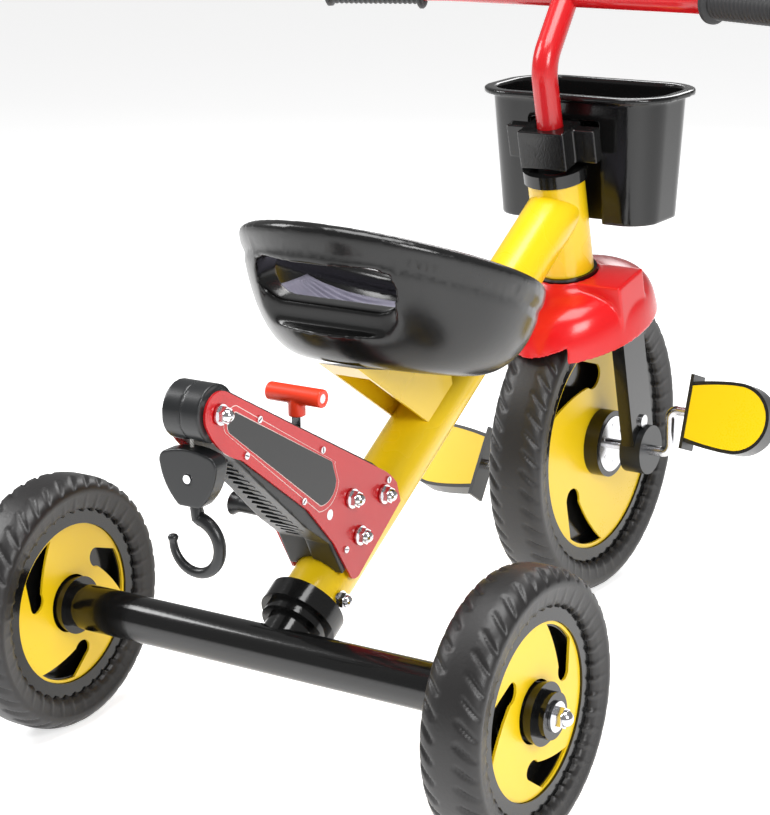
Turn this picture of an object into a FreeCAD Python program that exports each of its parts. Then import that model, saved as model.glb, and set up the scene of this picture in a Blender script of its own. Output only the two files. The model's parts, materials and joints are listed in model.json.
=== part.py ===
import FreeCAD, Part
import math
import os
import re
import Sketcher

# Children's tricycle with a toy crane behind the seat.
# Millimetres, +Z up, +Y forward, +X to the rider's right.
# The origin is on the floor, under the middle of the length. X = 0 is the middle plane.

Vector = FreeCAD.Vector
Rotation = FreeCAD.Rotation
doc = FreeCAD.newDocument("tricycle")
sheet = doc.addObject("Spreadsheet::Sheet", "dims")

SIZES = (
    ("wheelbase", 486, "rear axle to front axle"),
    ("track", 418, "middle of one rear tyre to the other"),
    ("rear_radius", 101.6, "rear tyre"),
    ("rear_width", 46, "rear tyre"),
    ("rear_rim_radius", 76, "seat of the rear tyre"),
    ("rear_disc_radius", 64, "yellow disc of a rear wheel"),
    ("rear_disc_face", 13.75, "disc face from the rear wheel's middle"),
    ("front_radius", 137, "front tyre"),
    ("front_width", 50, "front tyre"),
    ("front_rim_radius", 110.5, "seat of the front tyre"),
    ("front_disc_radius", 97, "yellow disc of the front wheel"),
    ("front_disc_face", 14.6, "disc face from the front wheel's middle"),
    ("disc_thick", 2, "moulded disc cover"),
    ("disc_ledge", 4, "ledge in the rim that a disc cover lies on"),
    ("web_half", 3, "web of a wheel's core, half thickness"),
    ("ring_proud", 1.8, "rim ring beyond the disc face"),
    ("tyre_corner", 10, "rounding of a tyre's shoulder"),
    ("rear_hub_radius", 23, "large step of the rear hub"),
    ("rear_hub_step", 17, "small step of the rear hub"),
    ("rear_hub_half", 29, "rear hub, half length"),
    ("hub_step_half", 22, "large step, half length"),
    ("axle_radius", 5, "rear axle rod"),
    ("running", 0.06, "radial clearance of what turns"),
    ("gap", 0.5, "side gap between what turns and what stands"),
    ("beam_radius", 18, "rear axle tube"),
    ("beam_wall", 2, "rear axle tube"),
    ("bush_flange", 3, "axle bush outside the tube"),
    ("nut_radius", 8, "dome nut of the axle"),
    ("tube_radius", 23.5, "main tube, outside"),
    ("tube_wall", 2, "main tube"),
    ("tube_drop", 5, "main tube's axis under the rear axle"),
    ("tube_start", 46, "lower end of the main tube, along its axis"),
    ("stub_radius", 20, "stub of the axle beam"),
    ("spigot_radius", 21.4, "spigot inside the main tube"),
    ("spigot_end", 100, "spigot's end, along the main tube"),
    ("collar_radius", 31, "collar at the tube's lower end"),
    ("collar_low", 36, "collar's lower face, along the main tube"),
    ("collar_high", 52, "collar's upper face, along the main tube"),
    ("rake", 12.6, "head axis back from the vertical, degrees"),
    ("head_radius", 24.5, "head tube, outside"),
    ("head_bore", 21, "head tube, inside"),
    ("head_length", 84, "head tube"),
    ("head_joint", 60, "main tube's axis above the head tube's lower end"),
    ("bushing_radius", 27.5, "head bushing flange"),
    ("bushing_lower", 6, "lower bushing flange, thickness"),
    ("bushing_upper", 11, "upper bushing flange, thickness"),
    ("bushing_depth", 20, "bushing sleeve inside the head tube"),
    ("steerer_radius", 14.5, "steerer tube, outside"),
    ("stem_radius", 11.1, "handlebar tube"),
    ("stem_play", 0.05, "handlebar tube inside the steerer"),
    ("crown_gap", 9, "front tyre to the crown"),
    ("crown_height", 18, "fork crown"),
    ("crown_depth", 36, "fork crown, fore and aft"),
    ("leg_face", 60, "outer face of a fork leg from the middle"),
    ("leg_thick", 12, "fork leg"),
    ("leg_width", 38, "fork leg, fore and aft"),
    ("sheet_wall", 2.5, "pressed sheet of the fork and bracket"),
    ("housing_radius", 22, "crank bearing housing"),
    ("housing_out", 66, "outer face of the housing"),
    ("housing_in", 46, "inner face of the housing"),
    ("crank_radius", 4.5, "crank rod"),
    ("crank_throw", 40, "crank, centre to centre"),
    ("crank_arm", 85, "crank arm from the middle"),
    ("crank_bend", 8, "bend of the crank rod"),
    ("pedal_in", 104, "pedal's inner end from the middle"),
    ("pedal_length", 75, "pedal along its spindle"),
    ("pedal_width", 62, "pedal across its spindle"),
    ("pedal_thick", 22, "pedal with both treads"),
    ("tread_thick", 2.5, "yellow tread"),
    ("front_hub_radius", 30, "hub cup of the front wheel"),
    ("front_hub_half", 28, "front hub, half length"),
    ("plate_radius", 25, "clutch plate"),
    ("bracket_low", 4, "basket bracket above the upper bushing"),
    ("bracket_height", 33, "basket bracket"),
    ("stem_straight", 71, "straight stem above the bracket's low face"),
    ("stem_bend", 35, "bend of the stem"),
    ("stem_turn", 50, "turn of the stem's bend, degrees"),
    ("stem_rise", 52, "straight stem after its bend"),
    ("stem_insert", 60, "stem inside the steerer"),
    ("bar_half", 108, "straight half of the crossbar"),
    ("bar_bend", 55, "bend of the crossbar"),
    ("bar_sweep", 19, "sweep of the bar's ends, degrees"),
    ("bar_end", 96, "straight end of the bar"),
    ("grip_radius", 14.5, "grip"),
    ("grip_flange", 18, "grip flange"),
    ("grip_length", 88, "grip"),
    ("basket_top", 456, "rim of the basket above the floor"),
    ("basket_deep", 112, "basket"),
    ("basket_centre", 4, "basket's middle ahead of the front axle"),
    ("basket_half_wide", 83, "basket body at the rim"),
    ("basket_half_long", 47, "basket body at the rim"),
    ("basket_corner", 34, "corner of the basket"),
    ("basket_taper", 4, "draught of the basket, degrees"),
    ("basket_wall", 3, "basket"),
    ("basket_lip", 8, "rim lip, outward"),
    ("seat_rim_wide", 118, "seat rim, half width"),
    ("seat_rim_long", 128, "seat rim, half length"),
    ("seat_wall", 5, "seat shell"),
    ("tunnel_play", 3, "seat's groove around the main tube"),
    ("crane_half", 21.7, "crane plate's inner face from the middle, at the tube's foot"),
    ("crane_toe", 3.34, "side plates converge towards the drum, degrees"),
    ("plate_thick", 2, "crane side plate"),
    ("shell_wall", 2.5, "boom shell"),
    ("drum_radius", 21, "boom's drum-shaped head"),
    ("pulley_radius", 8, "cord line on the head pulley"),
    ("cord_radius", 1.5, "cord"),
    ("fall_length", 24, "cord from the pulley's tangent to the hook block"),
    ("block_thick", 14, "hook block"),
    ("hook_bend", 20.5, "hook, centre line"),
    ("hook_thick", 5.5, "hook, radius of its bar"),
    ("spool_radius", 8, "cord line on the winch spool"),
    ("winch_throw", 18.5, "winch crank"),
    ("knob_length", 30, "winch crank's knob"),
)
for row, (alias, size, meaning) in enumerate(SIZES, 1):
    sheet.set(f"A{row}", meaning)
    sheet.set(f"B{row}", str(size))
    sheet.setAlias(f"B{row}", alias)
doc.recompute()
ALIASES = {alias for alias, _, _ in SIZES}


def expr(text):
    """The text with each sheet alias written as a reference."""
    return re.sub(r"[a-z_]+", lambda m: f"dims.{m[0]}" if m[0] in ALIASES else m[0], str(text))


def num(text):
    """The value of an expression on the sheet."""
    return float(getattr(sheet.evalExpression(expr(text)), "Value", 0) or sheet.evalExpression(expr(text)))


# Places. REAR is the rear axle's Y; `on_head` and `on_tube` measure along the head axis and the main tube.
REAR = "((rear_radius - front_radius - wheelbase) / 2)"
FRONT = f"({REAR} + wheelbase)"
CROWN_LOW = "(front_radius + crown_gap)"
HEAD_LOW = f"({CROWN_LOW} + crown_height + gap + bushing_lower)"
HEAD_HIGH = f"({HEAD_LOW} + head_length)"
JOINT = f"({HEAD_LOW} + head_joint)"
SLOPE = (f"atan((front_radius + {JOINT} * cos(rake) - rear_radius + tube_drop)"
         f" / (wheelbase - {JOINT} * sin(rake)))")
TUBE_END = f"((wheelbase - {JOINT} * sin(rake)) / cos({SLOPE}))"
BRACKET_LOW = f"({HEAD_HIGH} + bushing_upper + bracket_low)"
HEAD_DIR = Vector(0, -math.sin(math.radians(num("rake"))), math.cos(math.radians(num("rake"))))
SLOPE_DEG = num(SLOPE)
TUBE_DIR = Vector(0, math.cos(math.radians(SLOPE_DEG)), math.sin(math.radians(SLOPE_DEG)))
X_DIR = Vector(1, 0, 0)
Y_DIR = Vector(0, 1, 0)
Z_DIR = Vector(0, 0, 1)
UPRIGHT = Rotation()
TUBE_TURN = Rotation(X_DIR, SLOPE_DEG)
HEAD_TURN = Rotation(X_DIR, num("rake"))


def on_head(up, ahead="0", x="0"):
    """A point `up` the head axis from the front axle and `ahead` of it, square to the axis."""
    return (x, f"{FRONT} - ({up}) * sin(rake) + ({ahead}) * cos(rake)",
            f"front_radius + ({up}) * cos(rake) + ({ahead}) * sin(rake)")


def on_tube(along, above="0", x="0"):
    """A point `along` the main tube's axis and `above` it, square to the axis."""
    return (x, f"{REAR} + ({along}) * cos({SLOPE}) - ({above}) * sin({SLOPE})",
            f"rear_radius - tube_drop + ({along}) * sin({SLOPE}) + ({above}) * cos({SLOPE})")


def bind(thing, **sizes):
    """Bind each named property to an expression on the sheet."""
    for name, text in sizes.items():
        thing.setExpression(name, expr(text))


def place(thing, at, turn=UPRIGHT):
    """Put an object at three expressions, turned by a rotation."""
    thing.Placement = FreeCAD.Placement(Vector(*[num(text) for text in at]), turn)
    for axis, text in zip("xyz", at):
        thing.setExpression(f"Placement.Base.{axis}", expr(text))


def along(direction):
    """The rotation that turns +Z to a direction."""
    return Rotation(Z_DIR, direction)


def cylinder(name, radius, height, at, direction=Z_DIR):
    made = doc.addObject("Part::Cylinder", name)
    bind(made, Radius=radius, Height=height)
    place(made, at, along(direction))
    return made


def box(name, size, at, turn=UPRIGHT):
    """A box from its low corner, which is where the turn pivots."""
    made = doc.addObject("Part::Box", name)
    bind(made, Length=size[0], Width=size[1], Height=size[2])
    place(made, at, turn)
    return made


def fuse(name, *pieces):
    made = doc.addObject("Part::MultiFuse", name)
    made.Shapes = list(pieces)
    return made


def cut(name, base, *tools):
    """Cut each tool away in turn; the last cut carries the name."""
    for number, tool in enumerate(tools, 1):
        made = doc.addObject("Part::Cut", name if number == len(tools) else f"{name}_cut_{number}")
        made.Base = base
        made.Tool = tool
        base = made
    return made


def common(name, first, second):
    made = doc.addObject("Part::Common", name)
    made.Base = first
    made.Tool = second
    return made


def group(name, *pieces):
    made = doc.addObject("Part::Compound", name)
    made.Links = list(pieces)
    return made


def tube(name, outer, inner, height, at, direction=Z_DIR):
    solid = cylinder(f"{name}_outer", outer, height, at, direction)
    back = [f"({text}) - ({step:.6f})" for text, step in zip(at, direction)]
    bore = cylinder(f"{name}_bore", inner, f"({height}) + 2", back, direction)
    return cut(name, solid, bore)


def through(name, radius, half, at):
    """A cylinder along X, centred on a point."""
    return cylinder(name, radius, f"2 * ({half})", (f"({at[0]}) - ({half})", at[1], at[2]), X_DIR)


def arc_edge(start, end, radius, side):
    """The short arc between two points. It bulges to the left of the way when side is 1."""
    chord = end - start
    middle = (start + end) * 0.5
    reach = math.sqrt(max(radius ** 2 - (chord.Length / 2) ** 2, 0))
    normal = Vector(-chord.y, chord.x, 0).normalize()
    centre = middle - normal * (reach * side)
    first, last = (start, end) if side < 0 else (end, start)
    angles = [math.atan2(p.y - centre.y, p.x - centre.x) for p in (first, last)]
    return Part.ArcOfCircle(Part.Circle(centre, Z_DIR, radius), *angles)


def draw(sketch, outline, closed=True):
    """Lines and arcs through the outline's points, each point and radius bound to its expression.
    A point is (x, y), or (x, y, radius, side) where an arc leads to it."""
    points = [Vector(num(p[0]), num(p[1]), 0) for p in outline]
    pairs = range(len(outline)) if closed else range(1, len(outline))
    ends = []
    for i in pairs:
        start, end, point = points[i - 1], points[i], outline[i]
        if len(point) == 4:
            index = sketch.addGeometry(arc_edge(start, end, num(point[2]), point[3]), False)
            ends.append((index, (1, 2) if point[3] < 0 else (2, 1)))
            radius = sketch.addConstraint(Sketcher.Constraint("Radius", index, num(point[2])))
            hold(sketch, radius, point[2])
        else:
            index = sketch.addGeometry(Part.LineSegment(start, end), False)
            ends.append((index, (1, 2)))
        pin(sketch, index, ends[-1][1][1], end, point)
    if not closed:
        pin(sketch, ends[0][0], ends[0][1][0], points[0], outline[0])
    for here, there in zip(ends, ends[1:] + (ends[:1] if closed else [])):
        sketch.addConstraint(Sketcher.Constraint("Coincident", here[0], here[1][1], there[0], there[1][0]))


def hold(sketch, index, text):
    """Bind a constraint to its expression where it names a size."""
    if expr(text) != str(text):
        sketch.setExpression(f"Constraints[{index}]", expr(text))


def pin(sketch, edge, end, value, point):
    """Fix an edge's end at its two distances from the sketch's origin."""
    for kind, axis, size, text in (("DistanceX", -2, value.x, point[0]),
                                   ("DistanceY", -1, value.y, point[1])):
        if abs(size) < 1e-9:
            sketch.addConstraint(Sketcher.Constraint("PointOnObject", edge, end, axis))
        else:
            hold(sketch, sketch.addConstraint(Sketcher.Constraint(kind, -1, 1, edge, end, size)), text)


def circle(sketch, x, y, radius):
    index = sketch.addGeometry(Part.Circle(Vector(num(x), num(y), 0), Z_DIR, num(radius)), False)
    hold(sketch, sketch.addConstraint(Sketcher.Constraint("Radius", index, num(radius))), radius)
    pin(sketch, index, 3, Vector(num(x), num(y), 0), (x, y))


def body(name):
    return doc.addObject("PartDesign::Body", name)


def plane_sketch(owner, name, role):
    sketch = owner.newObject("Sketcher::SketchObject", name)
    plane = [f for f in owner.Origin.OriginFeatures if f.Role == role][0]
    sketch.AttachmentSupport = [(plane, "")]
    sketch.MapMode = "FlatFace"
    return sketch


def padded(name, outline, length, role="YZ_Plane", holes=(), both=True):
    """A body of one outline padded across its plane, to both sides or one."""
    owner = body(name)
    sketch = plane_sketch(owner, f"{name}_outline", role)
    draw(sketch, outline)
    for hole in holes:
        if len(hole) == 3 and not isinstance(hole[0], tuple):
            circle(sketch, *hole)
        else:
            draw(sketch, hole)
    pad = owner.newObject("PartDesign::Pad", f"{name}_pad")
    pad.Profile = sketch
    pad.Midplane = both
    bind(pad, Length=length)
    owner.Tip = pad
    return owner


def turned(name, profile, at):
    """A body revolved about the X axis from a profile of (x, radius) points."""
    owner = body(name)
    sketch = plane_sketch(owner, f"{name}_profile", "XZ_Plane")
    draw(sketch, profile)
    spin = owner.newObject("PartDesign::Revolution", f"{name}_spin")
    spin.Profile = sketch
    spin.ReferenceAxis = (sketch, ["H_Axis"])
    spin.Angle = 360
    owner.Tip = spin
    place(owner, at)
    return owner


def bent(name, path, radius, at, turn, start_at, start_dir):
    """A round bar along an open path drawn in its own XY plane."""
    line = doc.addObject("Sketcher::SketchObject", f"{name}_path")
    draw(line, path, closed=False)
    place(line, at, turn)
    ring = doc.addObject("Part::Circle", f"{name}_ring")
    bind(ring, Radius=radius)
    place(ring, start_at, along(start_dir))
    sweep = doc.addObject("Part::Sweep", name)
    sweep.Sections = [ring]
    doc.recompute()
    sweep.Spine = (line, [f"Edge{i + 1}" for i in range(len(line.Shape.Edges))])
    sweep.Solid = True
    sweep.Frenet = False
    return sweep


def lofted(name, rings):
    """A solid through ellipses given as (half width, half length, place, turn)."""
    sections = []
    for number, (wide, long, at, turn) in enumerate(rings):
        ring = doc.addObject("Part::Ellipse", f"{name}_ring_{number}")
        flip = num(long) > num(wide)
        bind(ring, MajorRadius=long if flip else wide, MinorRadius=wide if flip else long)
        place(ring, at, turn.multiply(Rotation(Z_DIR, 90 if flip else 0)))
        sections.append(ring)
    made = doc.addObject("Part::Loft", name)
    made.Sections = sections
    made.Solid = True
    return made


NODES = {}


def node(name, shape):
    """Name a finished sub-part."""
    shape.Label = name
    NODES[name] = shape
    return shape


def dome_nut(name, radius, at, outward):
    """A hexagon nut with a domed cap, standing on a point of the X side face."""
    hexagon = doc.addObject("Part::Prism", f"{name}_hex")
    hexagon.Polygon = 6
    bind(hexagon, Circumradius=radius, Height=f"{radius} * 0.7")
    place(hexagon, at, along(X_DIR * outward))
    dome = doc.addObject("Part::Sphere", f"{name}_dome")
    bind(dome, Radius=f"{radius} * 0.75")
    dome.Angle1 = 0
    place(dome, (f"({at[0]}) + {outward} * {radius} * 0.7", at[1], at[2]), along(X_DIR * outward))
    return fuse(name, hexagon, dome)


# Rear wheels: a tyre on a black core with its hub, and a yellow disc on each face, on one steel rod.
def wheel(end, at, radius, width, rim, disc, face, root, hub_profile):
    """Tyre and core about a wheel's centre. `root` is the hub's radius where the web meets it."""
    corner = "tyre_corner"
    side = f"{width} / 2"
    tyre = turned(f"{end}_tyre", (
        (f"-({side} - 5)", rim), (f"{side} - 5", rim), (side, f"{rim} + 4"),
        (side, f"{radius} - {corner}"), (f"{side} - {corner}", radius, corner, -1),
        (f"-({side} - {corner})", radius), (f"-({side})", f"{radius} - {corner}", corner, -1),
        (f"-({side})", f"{rim} + 4")), at)
    proud = f"({face} + ring_proud)"
    web = f"({face} - disc_thick)"
    ring = f"({disc} + 0.3)"
    ledge = f"({ring} - disc_ledge)"
    core = turned(f"{end}_rim", (
        *hub_profile(), (web, root), ("web_half", root), ("web_half", ledge), (web, ledge), (web, ring),
        (proud, ring), (proud, rim), (f"-{proud}", rim), (f"-{proud}", ring), (f"-{web}", ring),
        (f"-{web}", ledge), ("-web_half", ledge), ("-web_half", root), (f"-{web}", root)), at)
    return node(f"{end}_tyre", tyre), node(f"{end}_rim", core)


SWIRLS = 3
WINDOW_REACH = 0.965
HEAD_REACH = 0.61


def discs(end, at, disc, face, hub, head, hand):
    """Two yellow covers with three comma-shaped windows each, the first window's head at `head` degrees."""
    covers = []
    for side in (-1, 1):
        owner = body(f"{end}_disc_{'outer' if side > 0 else 'inner'}")
        sketch = plane_sketch(owner, f"{owner.Name}_outline", "YZ_Plane")
        circle(sketch, "0", "0", disc)
        circle(sketch, "0", "0", hub)
        pad = owner.newObject("PartDesign::Pad", f"{owner.Name}_pad")
        pad.Profile = sketch
        bind(pad, Length="disc_thick")
        windows = plane_sketch(owner, f"{owner.Name}_window", "YZ_Plane")
        draw(windows, window_outline(disc, head, hand))
        pocket = owner.newObject("PartDesign::Pocket", f"{owner.Name}_pocket")
        pocket.Profile = windows
        pocket.Midplane = True
        bind(pocket, Length="disc_thick * 4")
        pattern = owner.newObject("PartDesign::PolarPattern", f"{owner.Name}_pattern")
        pattern.Originals = [pocket]
        pattern.Axis = (windows, ["N_Axis"])
        pattern.Angle = 360
        pattern.Occurrences = SWIRLS
        owner.Tip = pattern
        place(owner, (f"({at[0]}) + {side} * {face}" + (" - disc_thick" if side > 0 else ""), at[1], at[2]))
        covers.append(owner)
    return node(f"{end}_discs", group(f"{end}_discs", *covers))


def window_outline(disc, head, hand):
    """A window's points as shares of the disc's radius and degrees on from its head: a round head
    near the hub, a long tail along the rim. `hand` is 1 where the tail runs counter-clockwise."""
    points = ((WINDOW_REACH, 20, WINDOW_REACH, 1), (0.76, -1), (HEAD_REACH, -4, 0.10, 1),
              (HEAD_REACH, 16, 0.14, 1),
              (WINDOW_REACH, 58, 1.9, -1))
    made = []
    for share, turn, *arc in points:
        way = math.radians(head + hand * turn)
        spot = (f"{disc} * {share * math.cos(way):.4f}", f"{disc} * {share * math.sin(way):.4f}")
        made.append((*spot, f"{disc} * {arc[0]}", hand * arc[1]) if arc else spot)
    return made


BORE = "(axle_radius + running)"


def rear_hub():
    """The rear hub's stepped profile."""
    return (("-hub_step_half", "rear_hub_radius"), ("-hub_step_half", "rear_hub_step"),
            ("-rear_hub_half", "rear_hub_step"), ("-rear_hub_half", BORE),
            ("rear_hub_half", BORE), ("rear_hub_half", "rear_hub_step"), ("hub_step_half", "rear_hub_step"),
            ("hub_step_half", "rear_hub_radius"))


REAR_AXLE = (REAR, "rear_radius")
for end, side in (("left", -1), ("right", 1)):
    centre = (f"{side} * track / 2", *REAR_AXLE)
    wheel(f"rear_{end}", centre, "rear_radius", "rear_width", "rear_rim_radius", "rear_disc_radius",
          "rear_disc_face", "(rear_hub_radius - 2)", rear_hub)
    discs(f"rear_{end}", centre, "rear_disc_radius", "rear_disc_face", "(rear_hub_radius + 0.3)",
          18 if side > 0 else 48, side)

# Rear axle: a black tube with a stub that plugs into the main tube, a steel rod, bushes and dome nuts.
HUB_IN = "(track / 2 - rear_hub_half - gap)"
HUB_OUT = "(track / 2 + rear_hub_half + gap)"
BEAM_HALF = f"({HUB_IN} - bush_flange)"
beam_tube = through("beam_tube", "beam_radius", BEAM_HALF, ("0", *REAR_AXLE))
stub = cylinder("stub", "stub_radius", "tube_start", on_tube("0"), TUBE_DIR)
spigot = cylinder("spigot", "spigot_radius", "spigot_end - tube_start", on_tube("tube_start"), TUBE_DIR)
beam_bore = through("beam_bore", "beam_radius - beam_wall", f"{BEAM_HALF} + 1", ("0", *REAR_AXLE))

# Bolts through the tube and the crane's foot lie across the middle plane: (along, above) the main tube.
FRAME_BOLT = ("62", "0")
CRANE_BOLTS = (("113.8", "58.9"), ("144.3", "31.3"), ("104.9", "27.3"))
WINCH_AXIS = ("88.4", "67.9")
DRUM_AXIS = ("41.5", "221.7")
BOLT = "3"
HOLE = "3.1"
BOLT_REACH = "40"
frame_hole = through("frame_hole", HOLE, BOLT_REACH, on_tube(*FRAME_BOLT))
node("rear_axle_beam", cut("rear_axle_beam", fuse("beam_blank", beam_tube, stub, spigot), beam_bore,
                           frame_hole))
node("rear_axle_rod", through("rear_axle_rod", "axle_radius", f"{HUB_OUT} + 4", ("0", *REAR_AXLE)))
bushes = []
nuts = []
for side in (-1, 1):
    start = (f"{side} * {BEAM_HALF}", *REAR_AXLE)
    plug = tube(f"bush_plug_{side + 2}", "beam_radius - beam_wall - 0.05", BORE, "18", start, X_DIR * -side)
    rim = tube(f"bush_rim_{side + 2}", "beam_radius", BORE, "bush_flange - gap", start, X_DIR * side)
    bushes.append(fuse(f"bush_{side + 2}", plug, rim))
    outer = (f"{side} * ({HUB_OUT} - gap / 2)", *REAR_AXLE)
    washer = cylinder(f"axle_washer_{side + 2}", "nut_radius + 3", "2", outer, X_DIR * side)
    nut = dome_nut(f"axle_nut_{side + 2}", "nut_radius", (f"{side} * ({HUB_OUT} - gap / 2 + 2)",
                                                          *REAR_AXLE), side)
    nuts.append(cut(f"axle_end_{side + 2}", fuse(f"axle_cap_{side + 2}", washer, nut),
                    through(f"axle_socket_{side + 2}", "axle_radius + 0.02", f"{HUB_OUT} + 4.02",
                            ("0", *REAR_AXLE))))
node("axle_bushes", group("axle_bushes", *bushes))
node("axle_nuts", group("axle_nuts", *nuts))
collar_outer = cylinder("collar_outer", "collar_radius", "collar_high - collar_low", on_tube("collar_low"),
                        TUBE_DIR)
collar_skirt = cylinder("collar_skirt", "collar_radius - 5", "8", on_tube("collar_low - 8"), TUBE_DIR)
collar_bore = cylinder("collar_bore", "stub_radius + 0.05", "40", on_tube("collar_low - 12"), TUBE_DIR)
collar_seat = cylinder("collar_seat", "tube_radius + 0.05", "20", on_tube("tube_start - 0.05"), TUBE_DIR)
collar_relief = through("collar_relief", "beam_radius + 0.2", "60", ("0", *REAR_AXLE))
node("frame_collar", cut("frame_collar", fuse("collar_blank", collar_outer, collar_skirt),
                         collar_bore, collar_seat, collar_relief))

# Main tube and head tube, welded: the main tube is coped to the head tube.
tube_blank = tube("tube_blank", "tube_radius", "tube_radius - tube_wall", f"{TUBE_END} - tube_start",
                  on_tube("tube_start"), TUBE_DIR)
cope = cylinder("cope", "head_radius", "head_length + 60", on_head(f"{HEAD_LOW} - 30"), HEAD_DIR)
node("main_tube", cut("main_tube", tube_blank, cope, through("tube_hole", HOLE, BOLT_REACH,
                                                             on_tube(*FRAME_BOLT))))
node("head_tube", tube("head_tube", "head_radius", "head_bore", "head_length", on_head(HEAD_LOW), HEAD_DIR))
STEERER_BORE = "steerer_radius + running"


def bushing(name, flange_at, flange, sleeve_at):
    """A flanged plastic bush for the steerer."""
    rim = cylinder(f"{name}_rim", "bushing_radius", flange, on_head(flange_at), HEAD_DIR)
    sleeve = cylinder(f"{name}_sleeve", "head_bore - 0.05", "bushing_depth", on_head(sleeve_at), HEAD_DIR)
    bore = cylinder(f"{name}_bore", STEERER_BORE, "bushing_depth + 40", on_head(f"{sleeve_at} - 20"),
                    HEAD_DIR)
    return node(name, cut(name, fuse(f"{name}_blank", rim, sleeve), bore))


bushing("head_bushing_lower", f"{HEAD_LOW} - bushing_lower", "bushing_lower", HEAD_LOW)
bushing("head_bushing_upper", HEAD_HIGH, "bushing_upper", f"{HEAD_HIGH} - bushing_depth")

# Seat bracket: folded sheet, two triangular cheeks under a top plate, welded on the main tube.
BRACKET_SHAPE = (("184.2", "124.6"), ("280.2", "25.4"), ("277", "16"), ("233.8", "16"))
BRACKET_HALF = "18"
bracket_solid = padded("bracket_solid", BRACKET_SHAPE, f"2 * {BRACKET_HALF}")
bracket_room = padded("bracket_room", (("177", "120"), ("282", "16"), ("281", "0"), ("215", "0")),
                      f"2 * ({BRACKET_HALF} - sheet_wall)")
for piece in (bracket_solid, bracket_room):
    place(piece, on_tube("0"), TUBE_TURN)
tube_room = cylinder("tube_room", "tube_radius", "200", on_tube("140"), TUBE_DIR)
node("seat_bracket", cut("seat_bracket", bracket_solid, bracket_room, tube_room))

# Seat: a bucket-shaped shell on ellipses that tilt more towards the rim. Each ring is
# (half width, half length, forward of the rear axle, above it, tilt).
SEAT_RINGS = (
    (58, 62, 163, 180.5, 14.7),
    (90, 94, 167, 192, 15),
    (108, 115, 170, 221, 18),
    ("seat_rim_wide", "seat_rim_long", 172, 262, 22.8),
)


def seat_rings(inset, lift, top):
    rings = []
    for number, (wide, long, ahead, above, tilt) in enumerate(SEAT_RINGS):
        raised = lift if number < len(SEAT_RINGS) - 1 else top
        rings.append((f"{wide} - {inset}", f"{long} - {inset}",
                      ("0", f"{REAR} + {ahead}", f"rear_radius + {above} + {raised}"), Rotation(X_DIR,
                                                                                                -tilt)))
    return rings


seat_outer = lofted("seat_outer", seat_rings("0", "0", "0"))
seat_inner = lofted("seat_inner", seat_rings("seat_wall", "seat_wall", "0.5"))
SEAT_BACK = f"{REAR} + 40"
HAND_HALF = 44
HAND_ROUND = 18
HAND_Z = 264
scoop_wall = common("scoop_wall", lofted("seat_core", seat_rings("0.2", "0.2", "-0.2")),
                    box("scoop_block", ("132", "66", "64"), ("-66", SEAT_BACK, "rear_radius + 222")))
hand_parts = [box("hand_slot", (f"2 * {HAND_HALF}", "90", f"2 * {HAND_ROUND}"),
                  (f"-{HAND_HALF}", SEAT_BACK, f"rear_radius + {HAND_Z} - {HAND_ROUND}"))]
for side in (-1, 1):
    hand_parts.append(cylinder(f"hand_end_{side + 2}", str(HAND_ROUND), "90",
                               (f"{side * HAND_HALF}", SEAT_BACK, f"rear_radius + {HAND_Z}"), Y_DIR))
scoop = box("scoop", ("120", "44", "50"), ("-60", SEAT_BACK, "rear_radius + 228"))
tunnel = cylinder("seat_tunnel", "tube_radius + tunnel_play + seat_wall", "300", on_tube("160"), TUBE_DIR)
tunnel_room = cylinder("seat_tunnel_room", "tube_radius + tunnel_play", "300", on_tube("160"), TUBE_DIR)
node("seat_shell", cut("seat_shell", fuse("seat_blank", cut("seat_bowl", seat_outer,
                                                            cut("seat_hollow", seat_inner, tunnel)),
                                          scoop_wall), *hand_parts, scoop, tunnel_room))

# Seat insert: a ribbed pad lying in the bowl, over the bolts' heads.
PAD_RISE = "(seat_wall + 6)"
pad_top = lofted("pad_top", seat_rings("(seat_wall + 6)", PAD_RISE, "0"))
pad_limit = box("pad_limit", ("300", "300", "30"), ("-150", f"{REAR} + 20", "rear_radius + 191"),
                Rotation(X_DIR, -8))
pad_tunnel = cylinder("pad_tunnel", "tube_radius + tunnel_play + seat_wall + 0.3", "300", on_tube("160"),
                      TUBE_DIR)
node("seat_pad", cut("seat_pad", common("pad_blank", pad_top, pad_limit), pad_tunnel))
SEAT_BOLT_PLACES = ((-10, 126), (10, 126), (-10, 172), (10, 172))
SEAT_TILT = 14.7
seat_up = Rotation(X_DIR, -SEAT_TILT).multVec(Z_DIR)
seat_bolts = []
for number, (x, y) in enumerate(SEAT_BOLT_PLACES):
    floor = f"rear_radius + 180.5 + 6 + (163 - {y}) * tan({SEAT_TILT}) + 0.3"
    seat_bolts.append(cylinder(f"seat_bolt_{number}", "5", "3", (str(x), f"{REAR} + {y}", floor), seat_up))
node("seat_bolts", group("seat_bolts", *seat_bolts))

# Crane: two steel side plates hold two moulded shells. The outlines are (along, above) the main tube.
PLATE_SHAPE = (
    ("157", "10"), ("87", "1"), ("79.5", "6", "9", 1), ("79.5", "46"), ("72", "90"), ("39.8", "177.3"),
    ("26", "222", "60", 1), ("42", "237.5", "16", 1), ("56", "229.5", "16", 1), ("154", "48.2"),
    ("161.5", "26", "60", 1))
SHELL_SHAPE = (
    ("158", "26"), ("90", "26"), ("82", "14"), ("77", "14"), ("79", "46"), ("67", "76"), ("48", "143"),
    ("38.5", "178"), ("27", "213"), ("38", "239"), ("57", "233"), ("152", "58"), ("160", "38"))
CAVITY_SHAPE = (
    ("154", "20"), ("84", "20"), ("83", "46"), ("71", "78"), ("52", "144"), ("44", "178"),
    ("46", "196"), ("64", "212"), ("147", "56"), ("154.5", "40"))
BADGE_SHAPE = (
    ("108", "86"), ("84", "83", "16", 1), ("41", "203"), ("54", "211", "8", 1), ("112", "101"))
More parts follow.
